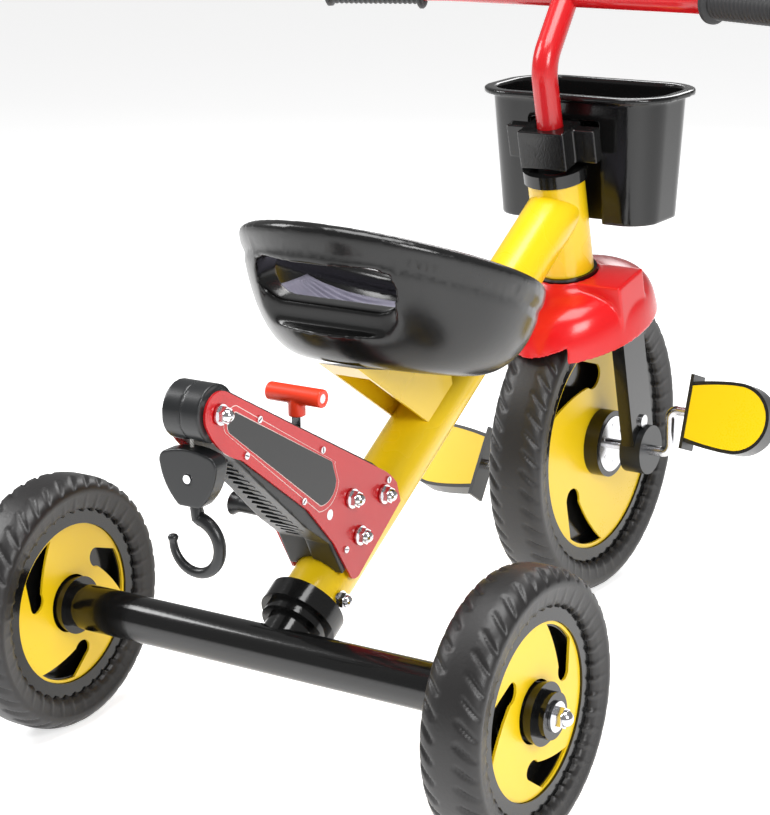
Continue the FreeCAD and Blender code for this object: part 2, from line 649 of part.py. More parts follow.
LUG_SHAPE = (("99", "18"), ("150", "18"), ("150", "38"), ("121", "66"), ("108", "66"), ("100", "46"))
PLATE_SCREWS = (("70", "188.1"), ("109.2", "116.3"), ("44.9", "176.7"), ("71.8", "100.5"), ("154.4", "36.6"),
                ("86.7", "30.9"))
BADGE_THICK = "0.8"
SHAFT = "4"
PIN = "2.5"
LEVER_AXIS = ("106.2", "100.7")


def crane_place(thing, side, out):
    """Put a piece drawn in the tube's frame `out` from a side plate's inner face, toed in like the plate."""
    toe_in = Rotation(Z_DIR, -side * num("crane_toe")).multiply(TUBE_TURN)
    place(thing, (f"{side} * (crane_half + ({out}) / cos(crane_toe))", *on_tube("0")[1:]), toe_in)


def crane_half_at(point):
    """Half the width between the plates at a point (along, above)."""
    return f"(crane_half + ({on_tube(*point)[1]} - {REAR}) * tan(crane_toe))"


def crossing(name, radius, *points):
    """Cylinders across the crane at points (along, above) the main tube."""
    return [through(f"{name}_{number}", radius, BOLT_REACH, on_tube(*point)) for number,
            point in enumerate(points)]


node("crane_bracket", cut("crane_bracket", padded("lug", LUG_SHAPE, "38"),
                          cylinder("lug_seat", "tube_radius", "200", on_tube("60"), TUBE_DIR),
                          *crossing("lug_hole", HOLE, *CRANE_BOLTS)))
place(doc.getObject("lug"), on_tube("0"), TUBE_TURN)
DRUM = on_tube(*DRUM_AXIS)
FALL_Y = f"({DRUM[1]} - pulley_radius)"
SPOOL_SIDE = Vector(num(DRUM[1]) - num(on_tube(*WINCH_AXIS)[1]),
                    num(DRUM[2]) - num(on_tube(*WINCH_AXIS)[2]), 0)
CORD_DIR = Vector(0, SPOOL_SIDE.x, SPOOL_SIDE.y).normalize()
CORD_SIDE = Vector(0, CORD_DIR.z, -CORD_DIR.y)


def cord_start(axis, radius):
    """Where the cord's line touches a wheel on its front side."""
    x, y, z = on_tube(*axis)
    return (x, f"{y} + {radius} * {CORD_SIDE.y:.6f}", f"{z} + {radius} * {CORD_SIDE.z:.6f}")


badges = []
screws = []
for side, name in ((1, "right"), (-1, "left")):
    plate = padded(f"plate_{name}", PLATE_SHAPE, "plate_thick", both=False)
    crane_place(plate, side, "0" if side > 0 else "plate_thick")
    node(f"crane_plate_{name}", cut(f"crane_plate_{name}", plate,
                                    *crossing(f"plate_hole_{name}", HOLE, *CRANE_BOLTS, DRUM_AXIS),
                                    *crossing(f"plate_winch_{name}", f"{SHAFT} + running", WINCH_AXIS)))
    badge = padded(f"badge_{name}", BADGE_SHAPE, BADGE_THICK, both=False)
    crane_place(badge, side, "plate_thick" if side > 0 else f"plate_thick + {BADGE_THICK}")
    badges.append(badge)
    for number, (up, above) in enumerate(PLATE_SCREWS):
        screw = doc.addObject("Part::Cylinder", f"screw_{name}_{number}")
        bind(screw, Radius="2.6", Height="1.2")
        start = (f"{side} * ({crane_half_at((up, above))} + plate_thick / cos(crane_toe) + 0.08)",
                 *on_tube(up, above)[1:])
        outward = Rotation(Z_DIR, -side * num("crane_toe")).multVec(X_DIR * side)
        place(screw, start, along(outward))
        screws.append(screw)
    shell = padded(f"shell_{name}", SHELL_SHAPE, "40", both=False)
    crane_place(shell, side, "-40" if side > 0 else "0")
    cavity = padded(f"cavity_{name}", CAVITY_SHAPE, "40", both=False)
    crane_place(cavity, side, "-40 - shell_wall" if side > 0 else "-shell_wall")
    drum = cylinder(f"drum_{name}", "drum_radius", f"{crane_half_at(DRUM_AXIS)} - 1.5", ("0", *DRUM[1:]),
                    X_DIR * side)
    boss = cylinder(f"boss_{name}", "6", f"{crane_half_at(LEVER_AXIS)} - 10.2",
                    (f"{side} * 9.2", *on_tube(*LEVER_AXIS)[1:]), X_DIR * side)
    other_half = box(f"other_half_{name}", ("60", "360", "360"),
                     ("-60" if side > 0 else "0", f"{REAR} - 170", "80"))
    drum_room = through(f"pulley_room_{name}", "pulley_radius + 4.5", "6", DRUM)
    slot = box(f"lever_slot_{name}", ("10", "24", "40"), ("-5", f"{REAR} + 26", "rear_radius + 134"))
    exit_hole = cylinder(f"cord_exit_{name}", "5", "40", ("0", FALL_Y, f"{DRUM[2]} - 43"))
    cord_way = cylinder(f"cord_way_{name}", "4", "155", cord_start(WINCH_AXIS, "8"), CORD_DIR)
    node(f"boom_shell_{name}", cut(
        f"boom_shell_{name}", fuse(f"shell_boss_{name}", cut(f"hollow_{name}", shell, cavity), boss,
                                   drum), other_half,
        *crossing(f"shell_hole_{name}", HOLE, *CRANE_BOLTS, DRUM_AXIS),
        *crossing(f"shell_winch_{name}", f"{SHAFT} + 0.5", WINCH_AXIS),
        *crossing(f"shell_pin_{name}", f"{PIN} + running", LEVER_AXIS),
        drum_room, exit_hole, cord_way, slot,
        cylinder(f"shell_tube_room_{name}", "tube_radius + 0.3", "200", on_tube("20"), TUBE_DIR)))
node("crane_badges", group("crane_badges", *badges))
node("plate_screws", group("plate_screws", *screws))

# Bolts with a head on the left and a dome nut on the right: three in the crane's foot, one in the
# drum, one in the main tube's foot.
bolts = []
for number, (point, half) in enumerate([(p, crane_half_at(p)) for p in (*CRANE_BOLTS, DRUM_AXIS)]
                                       + [(FRAME_BOLT, "(tube_radius - 2)")]):
    face = f"({half} + plate_thick + 0.6)"
    shank = through(f"shank_{number}", BOLT, face, on_tube(*point))
    washer = cylinder(f"bolt_washer_{number}", "7.5", "1.5", on_tube(*point, face), X_DIR)
    nut = dome_nut(f"bolt_nut_{number}", "6.5", on_tube(*point, f"{face} + 1.5"), 1)
    head = cylinder(f"bolt_head_{number}", "5.5", "4", on_tube(*point, f"-{face}"), X_DIR * -1)
    bolts.append(fuse(f"dome_bolt_{number}", shank, washer, nut, head))
node("dome_bolts", group("dome_bolts", *bolts))

# Head pulley and the cord: from the spool over the pulley and down through the drum's opening.
pulley_bore = through("pulley_bore", f"{BOLT} + running", "10", DRUM)
pulley_parts = [through("pulley_core", "pulley_radius - cord_radius - 0.3", "4", DRUM)]
for side in (-1, 1):
    pulley_parts.append(cylinder(f"pulley_flange_{side + 2}", "pulley_radius + 3", "2",
                                 (f"{side} * 2", *DRUM[1:]), X_DIR * side))
node("head_pulley", cut("head_pulley", fuse("pulley_blank", *pulley_parts), pulley_bore))
RUN_LENGTH = f"{SPOOL_SIDE.Length:.3f}"
EXIT_Z = f"({DRUM[2]} - drum_radius + 1.5)"
cord_line = cylinder("cord_line", "cord_radius", RUN_LENGTH, cord_start(WINCH_AXIS, "spool_radius"), CORD_DIR)
cord_drop = cylinder("cord_drop", "cord_radius", "drum_radius - cord_radius - 2",
                     ("0", FALL_Y, f"{EXIT_Z} + cord_radius + 0.6"))
node("cord_run", group("cord_run", cord_line, cord_drop))
BLOCK_TOP = f"({DRUM[2]} - fall_length)"
fall_line = cylinder("fall_line", "cord_radius", f"{EXIT_Z} - {BLOCK_TOP}", ("0", FALL_Y, BLOCK_TOP))
fall_bend = through("fall_bend", "cord_radius + 0.2", "cord_radius + 0.1", ("0", FALL_Y, EXIT_Z))
node("cord_fall", fuse("cord_fall", fall_line, fall_bend))

# Winch: a spool with ratchet teeth on a steel shaft, turned by a crank with a loose knob on the left.
WINCH = on_tube(*WINCH_AXIS)
LEFT_FACE = f"({crane_half_at(WINCH_AXIS)} + plate_thick / cos(crane_toe))"
ARM_X = f"({LEFT_FACE} + 12)"
ARM_THICK = "5"
spool_parts = [through("winch_shaft", SHAFT, LEFT_FACE, WINCH),
               through("spool_barrel", "spool_radius - cord_radius - 0.3", "14", WINCH)]
for side in (-1, 1):
    spool_parts.append(cylinder(f"spool_flange_{side + 2}", "12", "2", (f"{side} * 12", *WINCH[1:]),
                                X_DIR * side))
TEETH = 12
ratchet_shape = []
for tooth in range(TEETH):
    for share, reach in ((0, "12.6"), (0.85, "10")):
        way = 2 * math.pi * (tooth + share) / TEETH
        ratchet_shape.append((f"{reach} * {math.cos(way):.4f}", f"{reach} * {math.sin(way):.4f}"))
ratchet = padded("ratchet", ratchet_shape, "5", both=False)
place(ratchet, ("4", *WINCH[1:]))
node("winch_spool", fuse("winch_spool", *spool_parts, ratchet))
hub = cylinder("crank_hub", "7", f"{ARM_X} - {LEFT_FACE} - gap + {ARM_THICK}",
               (f"-{ARM_X} - {ARM_THICK}", *WINCH[1:]),
               X_DIR)
KNOB_AWAY = (f"({WINCH_AXIS[0]} + winch_throw * 0.364)", f"({WINCH_AXIS[1]} - winch_throw * 0.931)")
KNOB = on_tube(*KNOB_AWAY)
arm = box("crank_web", (ARM_THICK, "winch_throw", "10"), on_tube(*WINCH_AXIS, f"-{ARM_X} - {ARM_THICK}"))
KNOB_WAY = math.degrees(math.atan2(num(KNOB[2]) - num(WINCH[2]), num(KNOB[1]) - num(WINCH[1])))
web_turn = Rotation(X_DIR, KNOB_WAY)
web_low = web_turn.multVec(Vector(0, 0, -5))
place(arm, (f"-{ARM_X} - {ARM_THICK}", f"{WINCH[1]} + {web_low.y:.5f}", f"{WINCH[2]} + {web_low.z:.5f}"),
      web_turn)
eye = cylinder("crank_eye", "7", ARM_THICK, (f"-{ARM_X} - {ARM_THICK}", *KNOB[1:]), X_DIR)
stud = cylinder("knob_stud", "2.5", "knob_length - 4", (f"-{ARM_X} - {ARM_THICK}", *KNOB[1:]), X_DIR * -1)
node("winch_crank", cut("winch_crank", fuse("crank_blank", hub, arm, eye, stud),
                        through("crank_socket", SHAFT, LEFT_FACE, WINCH)))
KNOB_PROFILE = (("0", "2.5 + running"), ("0", "6.5"), ("-knob_length + 8", "6.5"),
                ("-knob_length", "10", "14", 1),
                ("-knob_length", "0"), ("-knob_length + 3", "0"), ("-knob_length + 3", "2.5 + running"))
node("crank_knob", turned("crank_knob_body", KNOB_PROFILE, (f"-{ARM_X} - {ARM_THICK} - gap", *KNOB[1:])))

# Pawl lever: a flat steel arm on a pin, with a red T-handle held by a screw.
LEVER = on_tube(*LEVER_AXIS)
lever_bar = box("lever_bar", ("8", "3", "60"), ("-4", f"{LEVER[1]} - 1.5", f"{LEVER[2]} - 14"))
lever_pin = through("lever_pin", PIN, "14", LEVER)
pawl = box("pawl", ("4", "3", "24"), ("4.5", f"{LEVER[1]} - 1.5", f"{LEVER[2]} - 23"))
pawl_eye = cylinder("pawl_eye", "5", "8.5", ("0", *LEVER[1:]), X_DIR)
node("lever_arm", fuse("lever_arm", lever_bar, lever_pin, pawl, pawl_eye))
HANDLE = ("0", LEVER[1], f"{LEVER[2]} + 52")
grip_bar = through("t_bar", "7", "24", HANDLE)
grip_neck = cylinder("t_neck", "6.5", "16", (HANDLE[0], HANDLE[1], f"{HANDLE[2]} - 16"))
handle_slot = box("t_slot", ("8", "3", "60"), ("-4", f"{LEVER[1]} - 1.5", f"{LEVER[2]} - 14"))
screw_hole = cylinder("t_screw_hole", "3.5", "6", ("18.5", *HANDLE[1:]), X_DIR)
node("lever_handle", cut("lever_handle", fuse("t_blank", grip_bar, grip_neck), handle_slot, screw_hole))
node("lever_screw", cylinder("lever_screw", "3.5", "5", ("18.5", *HANDLE[1:]), X_DIR))

# Hook block and swivel hook, hanging on the cord.
PICK = (("-9", "-20.5", "46", -1), ("9", "-20.5"), ("24.5", "8", "46", -1), ("18", "18.5", "8", -1),
        ("-18", "18.5", "60", -1), ("-24.5", "8", "8", -1))
BLOCK = ("0", FALL_Y, f"{BLOCK_TOP} - 21.6")
block_body = padded("block_body", PICK, "block_thick", role="XZ_Plane")
place(block_body, BLOCK)
HOOK_PIN = "4"
block_hole = cylinder("block_hole", "3.2", "block_thick + 4", (BLOCK[0],
                                                               f"{BLOCK[1]} - block_thick / 2 - 2", BLOCK[2]),
                      Y_DIR)
swivel_hole = cylinder("swivel_hole", f"{HOOK_PIN} + running", "15", (BLOCK[0], BLOCK[1], f"{BLOCK[2]} - 24"))
node("hook_block", cut("hook_block", block_body, block_hole, swivel_hole))
node("block_pin", cylinder("block_pin", "3.2", "block_thick + 2", (BLOCK[0],
                                                                   f"{BLOCK[1]} - block_thick / 2 - 1",
                                                                 BLOCK[2]), Y_DIR))
HOOK_Z = f"({BLOCK[2]} - 50.5)"
HOOK_START = 82
HOOK_SWEEP = 262
hook_ring = doc.addObject("Part::Torus", "hook_ring")
bind(hook_ring, Radius1="hook_bend", Radius2="hook_thick", Angle3=str(HOOK_SWEEP))
place(hook_ring, ("0", FALL_Y, HOOK_Z), Rotation(Y_DIR, -HOOK_START).multiply(Rotation(X_DIR, -90)))
hook_parts = [hook_ring, cylinder("hook_shank", HOOK_PIN, "20", ("0", FALL_Y, f"{BLOCK[2]} - 30"))]
for name, way in (("knuckle", HOOK_START), ("tip", HOOK_START - HOOK_SWEEP)):
    ball = doc.addObject("Part::Sphere", f"hook_{name}")
    bind(ball, Radius="hook_thick + 0.8")
    place(ball, (f"hook_bend * {math.cos(math.radians(way)):.4f}", FALL_Y,
                 f"{HOOK_Z} + hook_bend * {math.sin(math.radians(way)):.4f}"))
    hook_parts.append(ball)
node("hook", fuse("hook", *hook_parts))

# Fork: crown with the steerer tube, and two pressed channel legs with crank bearings at their feet.
crown = box("crown", ("2 * (leg_face - leg_thick)", "crown_depth", "crown_height"),
            on_head(CROWN_LOW, "-crown_depth / 2", "-(leg_face - leg_thick)"), HEAD_TURN)
steerer = cylinder("steerer", "steerer_radius", f"{HEAD_HIGH} + bushing_upper + 2 - {CROWN_LOW}",
                   on_head(CROWN_LOW),
                   HEAD_DIR)
steerer_bore = cylinder("steerer_bore", "stem_radius + stem_play", "200", on_head(f"{CROWN_LOW} - 10"),
                        HEAD_DIR)
node("fork_crown", cut("fork_crown", fuse("crown_blank", crown, steerer), steerer_bore))
FRONT_AXLE = (FRONT, "front_radius")
CRANK_BORE = "(crank_radius + running)"
LEG_SCREW = "28"
housings = []
leg_screws = []
for side, name in ((1, "right"), (-1, "left")):
    low_x = "-leg_face" if side < 0 else "leg_face - leg_thick"
    leg = box(f"leg_{name}", ("leg_thick", "leg_width", f"{CROWN_LOW} + crown_height - 10"),
              on_head("10", "-leg_width / 2", low_x), HEAD_TURN)
    channel_x = "-leg_face + sheet_wall" if side < 0 else "leg_face - leg_thick - sheet_wall"
    channel = box(f"channel_{name}", ("leg_thick", "leg_width - 2 * sheet_wall", f"{CROWN_LOW} - 2"),
                  on_head("-10", "-leg_width / 2 + sheet_wall", channel_x), HEAD_TURN)
    foot_room = through(f"foot_room_{name}", "housing_radius + 0.05", "housing_out + 10", ("0", *FRONT_AXLE))
    screw_room = through(f"leg_screw_room_{name}", HOLE, "housing_out + 10", on_head(LEG_SCREW))
    node(f"fork_leg_{name}", cut(f"fork_leg_{name}", leg, channel, foot_room, screw_room))
    housing = cylinder(f"housing_{name}", "housing_radius", "housing_out - housing_in",
                       (f"{side} * housing_in", *FRONT_AXLE), X_DIR * side)
    housings.append(cut(f"bearing_{name}", housing,
                        through(f"crank_room_{name}", CRANK_BORE, "housing_out + 10", ("0", *FRONT_AXLE))))
    head = cylinder(f"leg_screw_head_{name}", "6", "2.5", on_head(LEG_SCREW, "0", f"{side} * leg_face"),
                    X_DIR * side)
    shank = cylinder(f"leg_screw_shank_{name}", BOLT, "8", on_head(LEG_SCREW, "0", f"{side} * leg_face"),
                     X_DIR * -side)
    leg_screws.append(fuse(f"leg_screw_{name}", head, shank))
node("crank_bearings", group("crank_bearings", *housings))
node("steering_screws", group("steering_screws", *leg_screws))

# Handlebar: a bent stem welded to a crossbar with swept ends, and two rubber grips.
STEM_TOP = f"({BRACKET_LOW} + stem_straight)"
STEM_START = f"({HEAD_HIGH} - stem_insert)"
STEM_LINE = f"({STEM_TOP} - {STEM_START})"
TURN_Y = "(stem_bend * (1 - cos(stem_turn)))"
TURN_Z = f"({STEM_LINE} + stem_bend * sin(stem_turn))"
stem = bent("stem", (("0", "0"), ("0", STEM_LINE), (TURN_Y, TURN_Z, "stem_bend", 1),
                     (f"{TURN_Y} + stem_rise * sin(stem_turn)", f"{TURN_Z} + stem_rise * cos(stem_turn)")),
            "stem_radius", on_head(STEM_START), HEAD_TURN.multiply(Rotation(0.5, 0.5, 0.5, 0.5)),
            on_head(STEM_START), HEAD_DIR)
BAR = on_head(f"{STEM_START} + {TURN_Z} + stem_rise * cos(stem_turn)",
              f"{TURN_Y} + stem_rise * sin(stem_turn)")
SWEPT_X = "(bar_half + bar_bend * sin(bar_sweep))"
SWEPT_Y = "(bar_bend * (1 - cos(bar_sweep)))"
END_X = f"({SWEPT_X} + bar_end * cos(bar_sweep))"
END_Y = f"({SWEPT_Y} + bar_end * sin(bar_sweep))"
LEFT_DIR = Rotation(Z_DIR, num("bar_sweep")).multVec(X_DIR)
bar = bent("bar", ((f"-{END_X}", f"-{END_Y}"), (f"-{SWEPT_X}", f"-{SWEPT_Y}"),
                   ("-bar_half", "0", "bar_bend", 1),
                   ("bar_half", "0"), (SWEPT_X, f"-{SWEPT_Y}", "bar_bend", 1), (END_X, f"-{END_Y}")),
           "stem_radius", BAR, UPRIGHT, (f"-{END_X}", f"{BAR[1]} - {END_Y}", BAR[2]), LEFT_DIR)
node("handlebar", fuse("handlebar", stem, bar))
for side, name in ((1, "right"), (-1, "left")):
    way = Vector(-LEFT_DIR.x * -side, -LEFT_DIR.y, 0)
    inner = (f"{side} * ({END_X} - (grip_length - 4) * cos(bar_sweep))",
             f"{BAR[1]} - {END_Y} + (grip_length - 4) * sin(bar_sweep)", BAR[2])
    sleeve = cylinder(f"grip_sleeve_{name}", "grip_radius", "grip_length", inner, way)
    flange = cylinder(f"grip_flange_{name}", "grip_flange", "5", inner, way)
    outer = tuple(f"{text} + ({step}) * (grip_length - 5)" for text, step in zip(inner, way))
    cap = cylinder(f"grip_cap_{name}", "grip_flange - 1.5", "5", outer, way)
    socket = cylinder(f"grip_socket_{name}", "stem_radius + 0.02", "grip_length - 3.9", inner, way)
    node(f"grip_{name}", cut(f"grip_{name}", fuse(f"grip_blank_{name}", sleeve, flange, cap), socket))

# Basket: a deep tapered bin with a rolled lip, hollowed at the back for the head tube, on a clamp
# round the stem.
BASKET_Y = f"({FRONT} + basket_centre)"
BASKET_LOW = "(basket_top - basket_deep)"


def bin_outline(grow):
    """A rounded rectangle about the basket's middle, grown all round."""
    wide = f"(basket_half_wide + {grow})"
    long = f"(basket_half_long + {grow})"
    corner = f"(basket_corner + {grow})"
    x, y = f"({wide} - {corner})", f"({long} - {corner})"
    return ((x, f"-{long}"), (wide, f"-{y}", corner, -1), (wide, y), (x, long, corner, -1), (f"-{x}", long),
            (f"-{wide}", y, corner, -1), (f"-{wide}", f"-{y}"), (f"-{x}", f"-{long}", corner, -1))


def bin_solid(name, grow, depth, taper=True, at=None):
    """A bin outline padded downwards, narrowing with the draught."""
    made = padded(name, bin_outline(grow), depth, role="XY_Plane", both=False)
    pad = made.Tip
    pad.Reversed = True
    if taper:
        pad.TaperAngle = -num("basket_taper")
    place(made, at or ("0", BASKET_Y, "basket_top"))
    return made


recess = box("recess", ("66", "40", "130"), ("-33", f"{BASKET_Y} - basket_half_long - 14",
                                             f"{BASKET_LOW} - 40"))
recess_room = box("recess_room", ("66 + 2 * basket_wall", "40 + basket_wall", "130 + basket_wall"),
                  ("-33 - basket_wall", f"{BASKET_Y} - basket_half_long - 14", f"{BASKET_LOW} - 40"))
bin_outer = bin_solid("bin_outer", "0", "basket_deep")
bin_inner = bin_solid("bin_inner", "-basket_wall", "basket_deep - basket_wall",
                      at=("0", BASKET_Y, "basket_top"))
lip = bin_solid("bin_lip", "basket_lip", "5", taper=False)
bin_room = bin_solid("bin_room", "-basket_wall", "6", taper=False)
node("basket", cut("basket", fuse("bin_blank", cut("bin_outside", bin_outer, recess),
                                  cut("bin_lip_ring", lip, bin_room)),
                   cut("bin_inside", bin_inner, recess_room)))
clamp = box("clamp", ("44", "34", "bracket_height"), on_head(BRACKET_LOW, "-19", "-22"), HEAD_TURN)
wing = box("clamp_wing", ("84", "12", "bracket_height - 4"), on_head(f"{BRACKET_LOW} + 2", "-2", "-42"),
           HEAD_TURN)
clamp_bore = cylinder("clamp_bore", "stem_radius + 0.05", "bracket_height + 20",
                      on_head(f"{BRACKET_LOW} - 10"),
                      HEAD_DIR)
basket_room = bin_solid("basket_room", "0.3", "basket_deep + 10")
node("basket_bracket", cut("basket_bracket", fuse("clamp_blank", clamp, wing), clamp_bore, basket_room))

# Fender: a bell about the head axis, longer fore and aft, open below for the tyre and the fork's legs.
FENDER_RINGS = ((68, 88, -28, 6), (67, 86, -16, 6), (62, 74, 4, 5), (50, 56, 14, 2), (34, 36, 20, 0),
                (30, 30, 26, 0))
FENDER_WALL = 3


def fender_bell(name, inset, rise):
    rings = []
    for wide, long, up, ahead in FENDER_RINGS:
        rings.append((f"{wide - inset}", f"{long - inset}", on_head(f"{CROWN_LOW} + {up - 4 - rise}",
                                                                    str(ahead)),
                      HEAD_TURN))
    return lofted(name, rings)


bell = fender_bell("bell", 0, 0)
bell_room = fender_bell("bell_room", FENDER_WALL, FENDER_WALL)
tyre_room = through("tyre_room", "front_radius + 8", "front_width / 2 + 8", ("0", *FRONT_AXLE))
leg_rooms = []
for side in (-1, 1):
    low_x = "-leg_face - 0.4" if side < 0 else "leg_face - leg_thick - 8"
    leg_rooms.append(box(f"leg_room_{side + 2}", ("leg_thick + 8.4", "leg_width + 0.8",
                                                  f"{CROWN_LOW} + crown_height"),
                         on_head("0", "-leg_width / 2 - 0.4", low_x), HEAD_TURN))
crown_room = box("crown_room", ("2 * leg_face + 0.8", "leg_width + 0.8", "crown_height + 4.4"),
                 on_head(f"{CROWN_LOW} - 4", "-leg_width / 2 - 0.4", "-leg_face - 0.4"), HEAD_TURN)
neck_room = cylinder("neck_room", "bushing_radius + 0.3", "60",
                     on_head(f"{HEAD_LOW} - bushing_lower - 0.4"), HEAD_DIR)
steerer_room = cylinder("steerer_room", "steerer_radius + 0.1", "80", on_head(f"{CROWN_LOW} - 10"), HEAD_DIR)
saddle = box("saddle", ("2 * leg_face + 7", "leg_width + 7", "crown_height + 23.4"),
             on_head(f"{CROWN_LOW} - 20", "-leg_width / 2 - 3.5", "-leg_face - 3.5"), HEAD_TURN)
node("fender", cut("fender", fuse("fender_blank", bell, saddle), bell_room, tyre_room, *leg_rooms,
                   crown_room, neck_room, steerer_room))


# Front wheel: as the rear wheels, with hub cups, clutch plates and the crank rod through its middle.
def front_hub():
    """The front hub's plain profile."""
    return (("-front_disc_face", f"{CRANK_BORE} + 20"), ("-front_disc_face", CRANK_BORE),
            ("front_disc_face", CRANK_BORE), ("front_disc_face", f"{CRANK_BORE} + 20"))


FRONT_CENTRE = ("0", *FRONT_AXLE)
wheel("front", FRONT_CENTRE, "front_radius", "front_width", "front_rim_radius", "front_disc_radius",
      "front_disc_face", f"({CRANK_BORE} + 20)", front_hub)
discs("front", FRONT_CENTRE, "front_disc_radius", "front_disc_face", f"({CRANK_BORE} + 20.3)", 95, 1)
cups = []
plates = []
for side in (-1, 1):
    cup = cylinder(f"cup_{side + 2}", "front_hub_radius", "front_hub_half - front_disc_face",
                   (f"{side} * (front_disc_face + 0.02)", *FRONT_AXLE), X_DIR * side)
    seat = cylinder(f"cup_seat_{side + 2}", "plate_radius + 0.1", "6", (f"{side} * (front_hub_half - 2)",
                                                                        *FRONT_AXLE),
                    X_DIR * side)
    cups.append(cut(f"hub_cup_{side + 2}", cup, seat, through(f"cup_bore_{side + 2}", CRANK_BORE, "60",
                                                              FRONT_CENTRE)))
    plates.append(cut(f"clutch_{side + 2}",
                      cylinder(f"clutch_disc_{side + 2}", "plate_radius", "2.5",
                               (f"{side} * (front_hub_half - 1.9)", *FRONT_AXLE), X_DIR * side),
                      through(f"clutch_bore_{side + 2}", CRANK_BORE, "60", FRONT_CENTRE)))
node("front_hub_cups", group("front_hub_cups", *cups))
node("clutch_plates", group("clutch_plates", *plates))
ROD_END = "(pedal_in + pedal_length - 10)"
rod = bent("crank_rod", ((f"-{ROD_END}", "-crank_throw"), ("-crank_arm - crank_bend", "-crank_throw"),
                         ("-crank_arm", "-crank_throw + crank_bend", "crank_bend", -1),
                         ("-crank_arm", "-crank_bend"), ("-crank_arm + crank_bend", "0", "crank_bend", 1),
                         ("crank_arm - crank_bend", "0"), ("crank_arm", "crank_bend", "crank_bend", -1),
                         ("crank_arm", "crank_throw - crank_bend"),
                         ("crank_arm + crank_bend", "crank_throw", "crank_bend", 1), (ROD_END,
                                                                                      "crank_throw")),
           "crank_radius", FRONT_CENTRE, Rotation(X_DIR, 90),
           (f"-{ROD_END}", FRONT, "front_radius - crank_throw"), X_DIR)
node("crank_rod", rod)

# Pedals: a black frame with an end plate, and a yellow tread on each face, loose on the crank's spindle.
PEDAL_LEAN = {"right": 69, "left": 56}
HALF_WIDE = "(pedal_width / 2)"
INNER = "3"


def pedal_outline(grow):
    """A D: square at the crank, round at the outer end. `grow` moves the whole outline out."""
    wide, start, end = f"({HALF_WIDE} - 3 + {grow})", f"(-{grow})", f"(pedal_length - {INNER} + {grow})"
    knee = f"(pedal_length - {INNER} - pedal_width / 2 + 3)"
    return ((start, f"-{wide} + 5"), (f"{knee} - 8", f"-{wide}", "260", -1), (knee, f"-{wide}"),
            (end, "0", wide, -1),
            (knee, wide, wide, -1), (f"{knee} - 8", wide), (start, f"{wide} - 5", "260", -1))


for side, name in ((1, "right"), (-1, "left")):
    turn = Rotation(X_DIR, PEDAL_LEAN[name])
    spin = turn if side > 0 else Rotation(Y_DIR, 180).multiply(Rotation(X_DIR, -PEDAL_LEAN[name]))
    at = (f"{side} * (pedal_in + {INNER})", FRONT, f"front_radius + {side} * crank_throw")
    frame_block = padded(f"pedal_block_{name}", pedal_outline("3"), "pedal_thick - 1", role="XY_Plane")
    room = padded(f"pedal_room_{name}", pedal_outline("0.1"), "pedal_thick + 2", role="XY_Plane")
    core = padded(f"pedal_core_{name}", pedal_outline("0.2"), "pedal_thick - 2 * tread_thick - 0.1",
                  role="XY_Plane")
    plate = doc.addObject("Part::Box", f"pedal_plate_{name}")
    bind(plate, Length=INNER, Width="pedal_width + 4", Height="pedal_thick + 2")
    for piece in (frame_block, room, core):
        place(piece, at, spin)
    low = spin.multVec(Vector(-num(INNER), -num("pedal_width") / 2 - 2, -num("pedal_thick") / 2 - 1))
    place(plate, tuple(f"{text} + ({shift:.5f})" for text, shift in zip(at, low)), spin)
    spindle = cylinder(f"spindle_room_{name}", CRANK_BORE, "pedal_length - 7.5",
                       (f"{side} * (pedal_in - 1)", *at[1:]), X_DIR * side)
    ring = cut(f"pedal_ring_{name}", frame_block, room)
    node(f"pedal_frame_{name}", cut(f"pedal_frame_{name}", fuse(f"pedal_whole_{name}", ring, core, plate),
                                    spindle))
    treads = []
    for face in (-1, 1):
        tread = padded(f"tread_{name}_{face + 2}", pedal_outline("0"), "tread_thick", role="XY_Plane",
                       both=False)
        lift = spin.multVec(Vector(0, 0,
                                   face * num("pedal_thick / 2") - (num("tread_thick") if face > 0 else 0)))
        place(tread, tuple(f"{text} + ({shift:.5f})" for text, shift in zip(at, lift)), spin)
        treads.append(tread)
    node(f"pedal_treads_{name}", group(f"pedal_treads_{name}", *treads))

# Check every object, then write each sub-part to its own file.
doc.recompute()
faults = [thing.Name for thing in doc.Objects if {"Invalid", "Error"} & set(thing.State)]
for name, shape in NODES.items():
    if shape.Shape.isNull() or not shape.Shape.isValid() or not shape.Shape.Solids:
        faults.append(name)
if faults:
    raise SystemExit(f"not built: {faults}")
os.makedirs("parts", exist_ok=True)
for name, shape in NODES.items():
    shape.Shape.exportStep(f"parts/{name}.step")
print(len(NODES), "sub-parts written")
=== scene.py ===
import json
import math

import bmesh
import bpy
from mathutils import Matrix, Vector
from mathutils.bvhtree import BVHTree


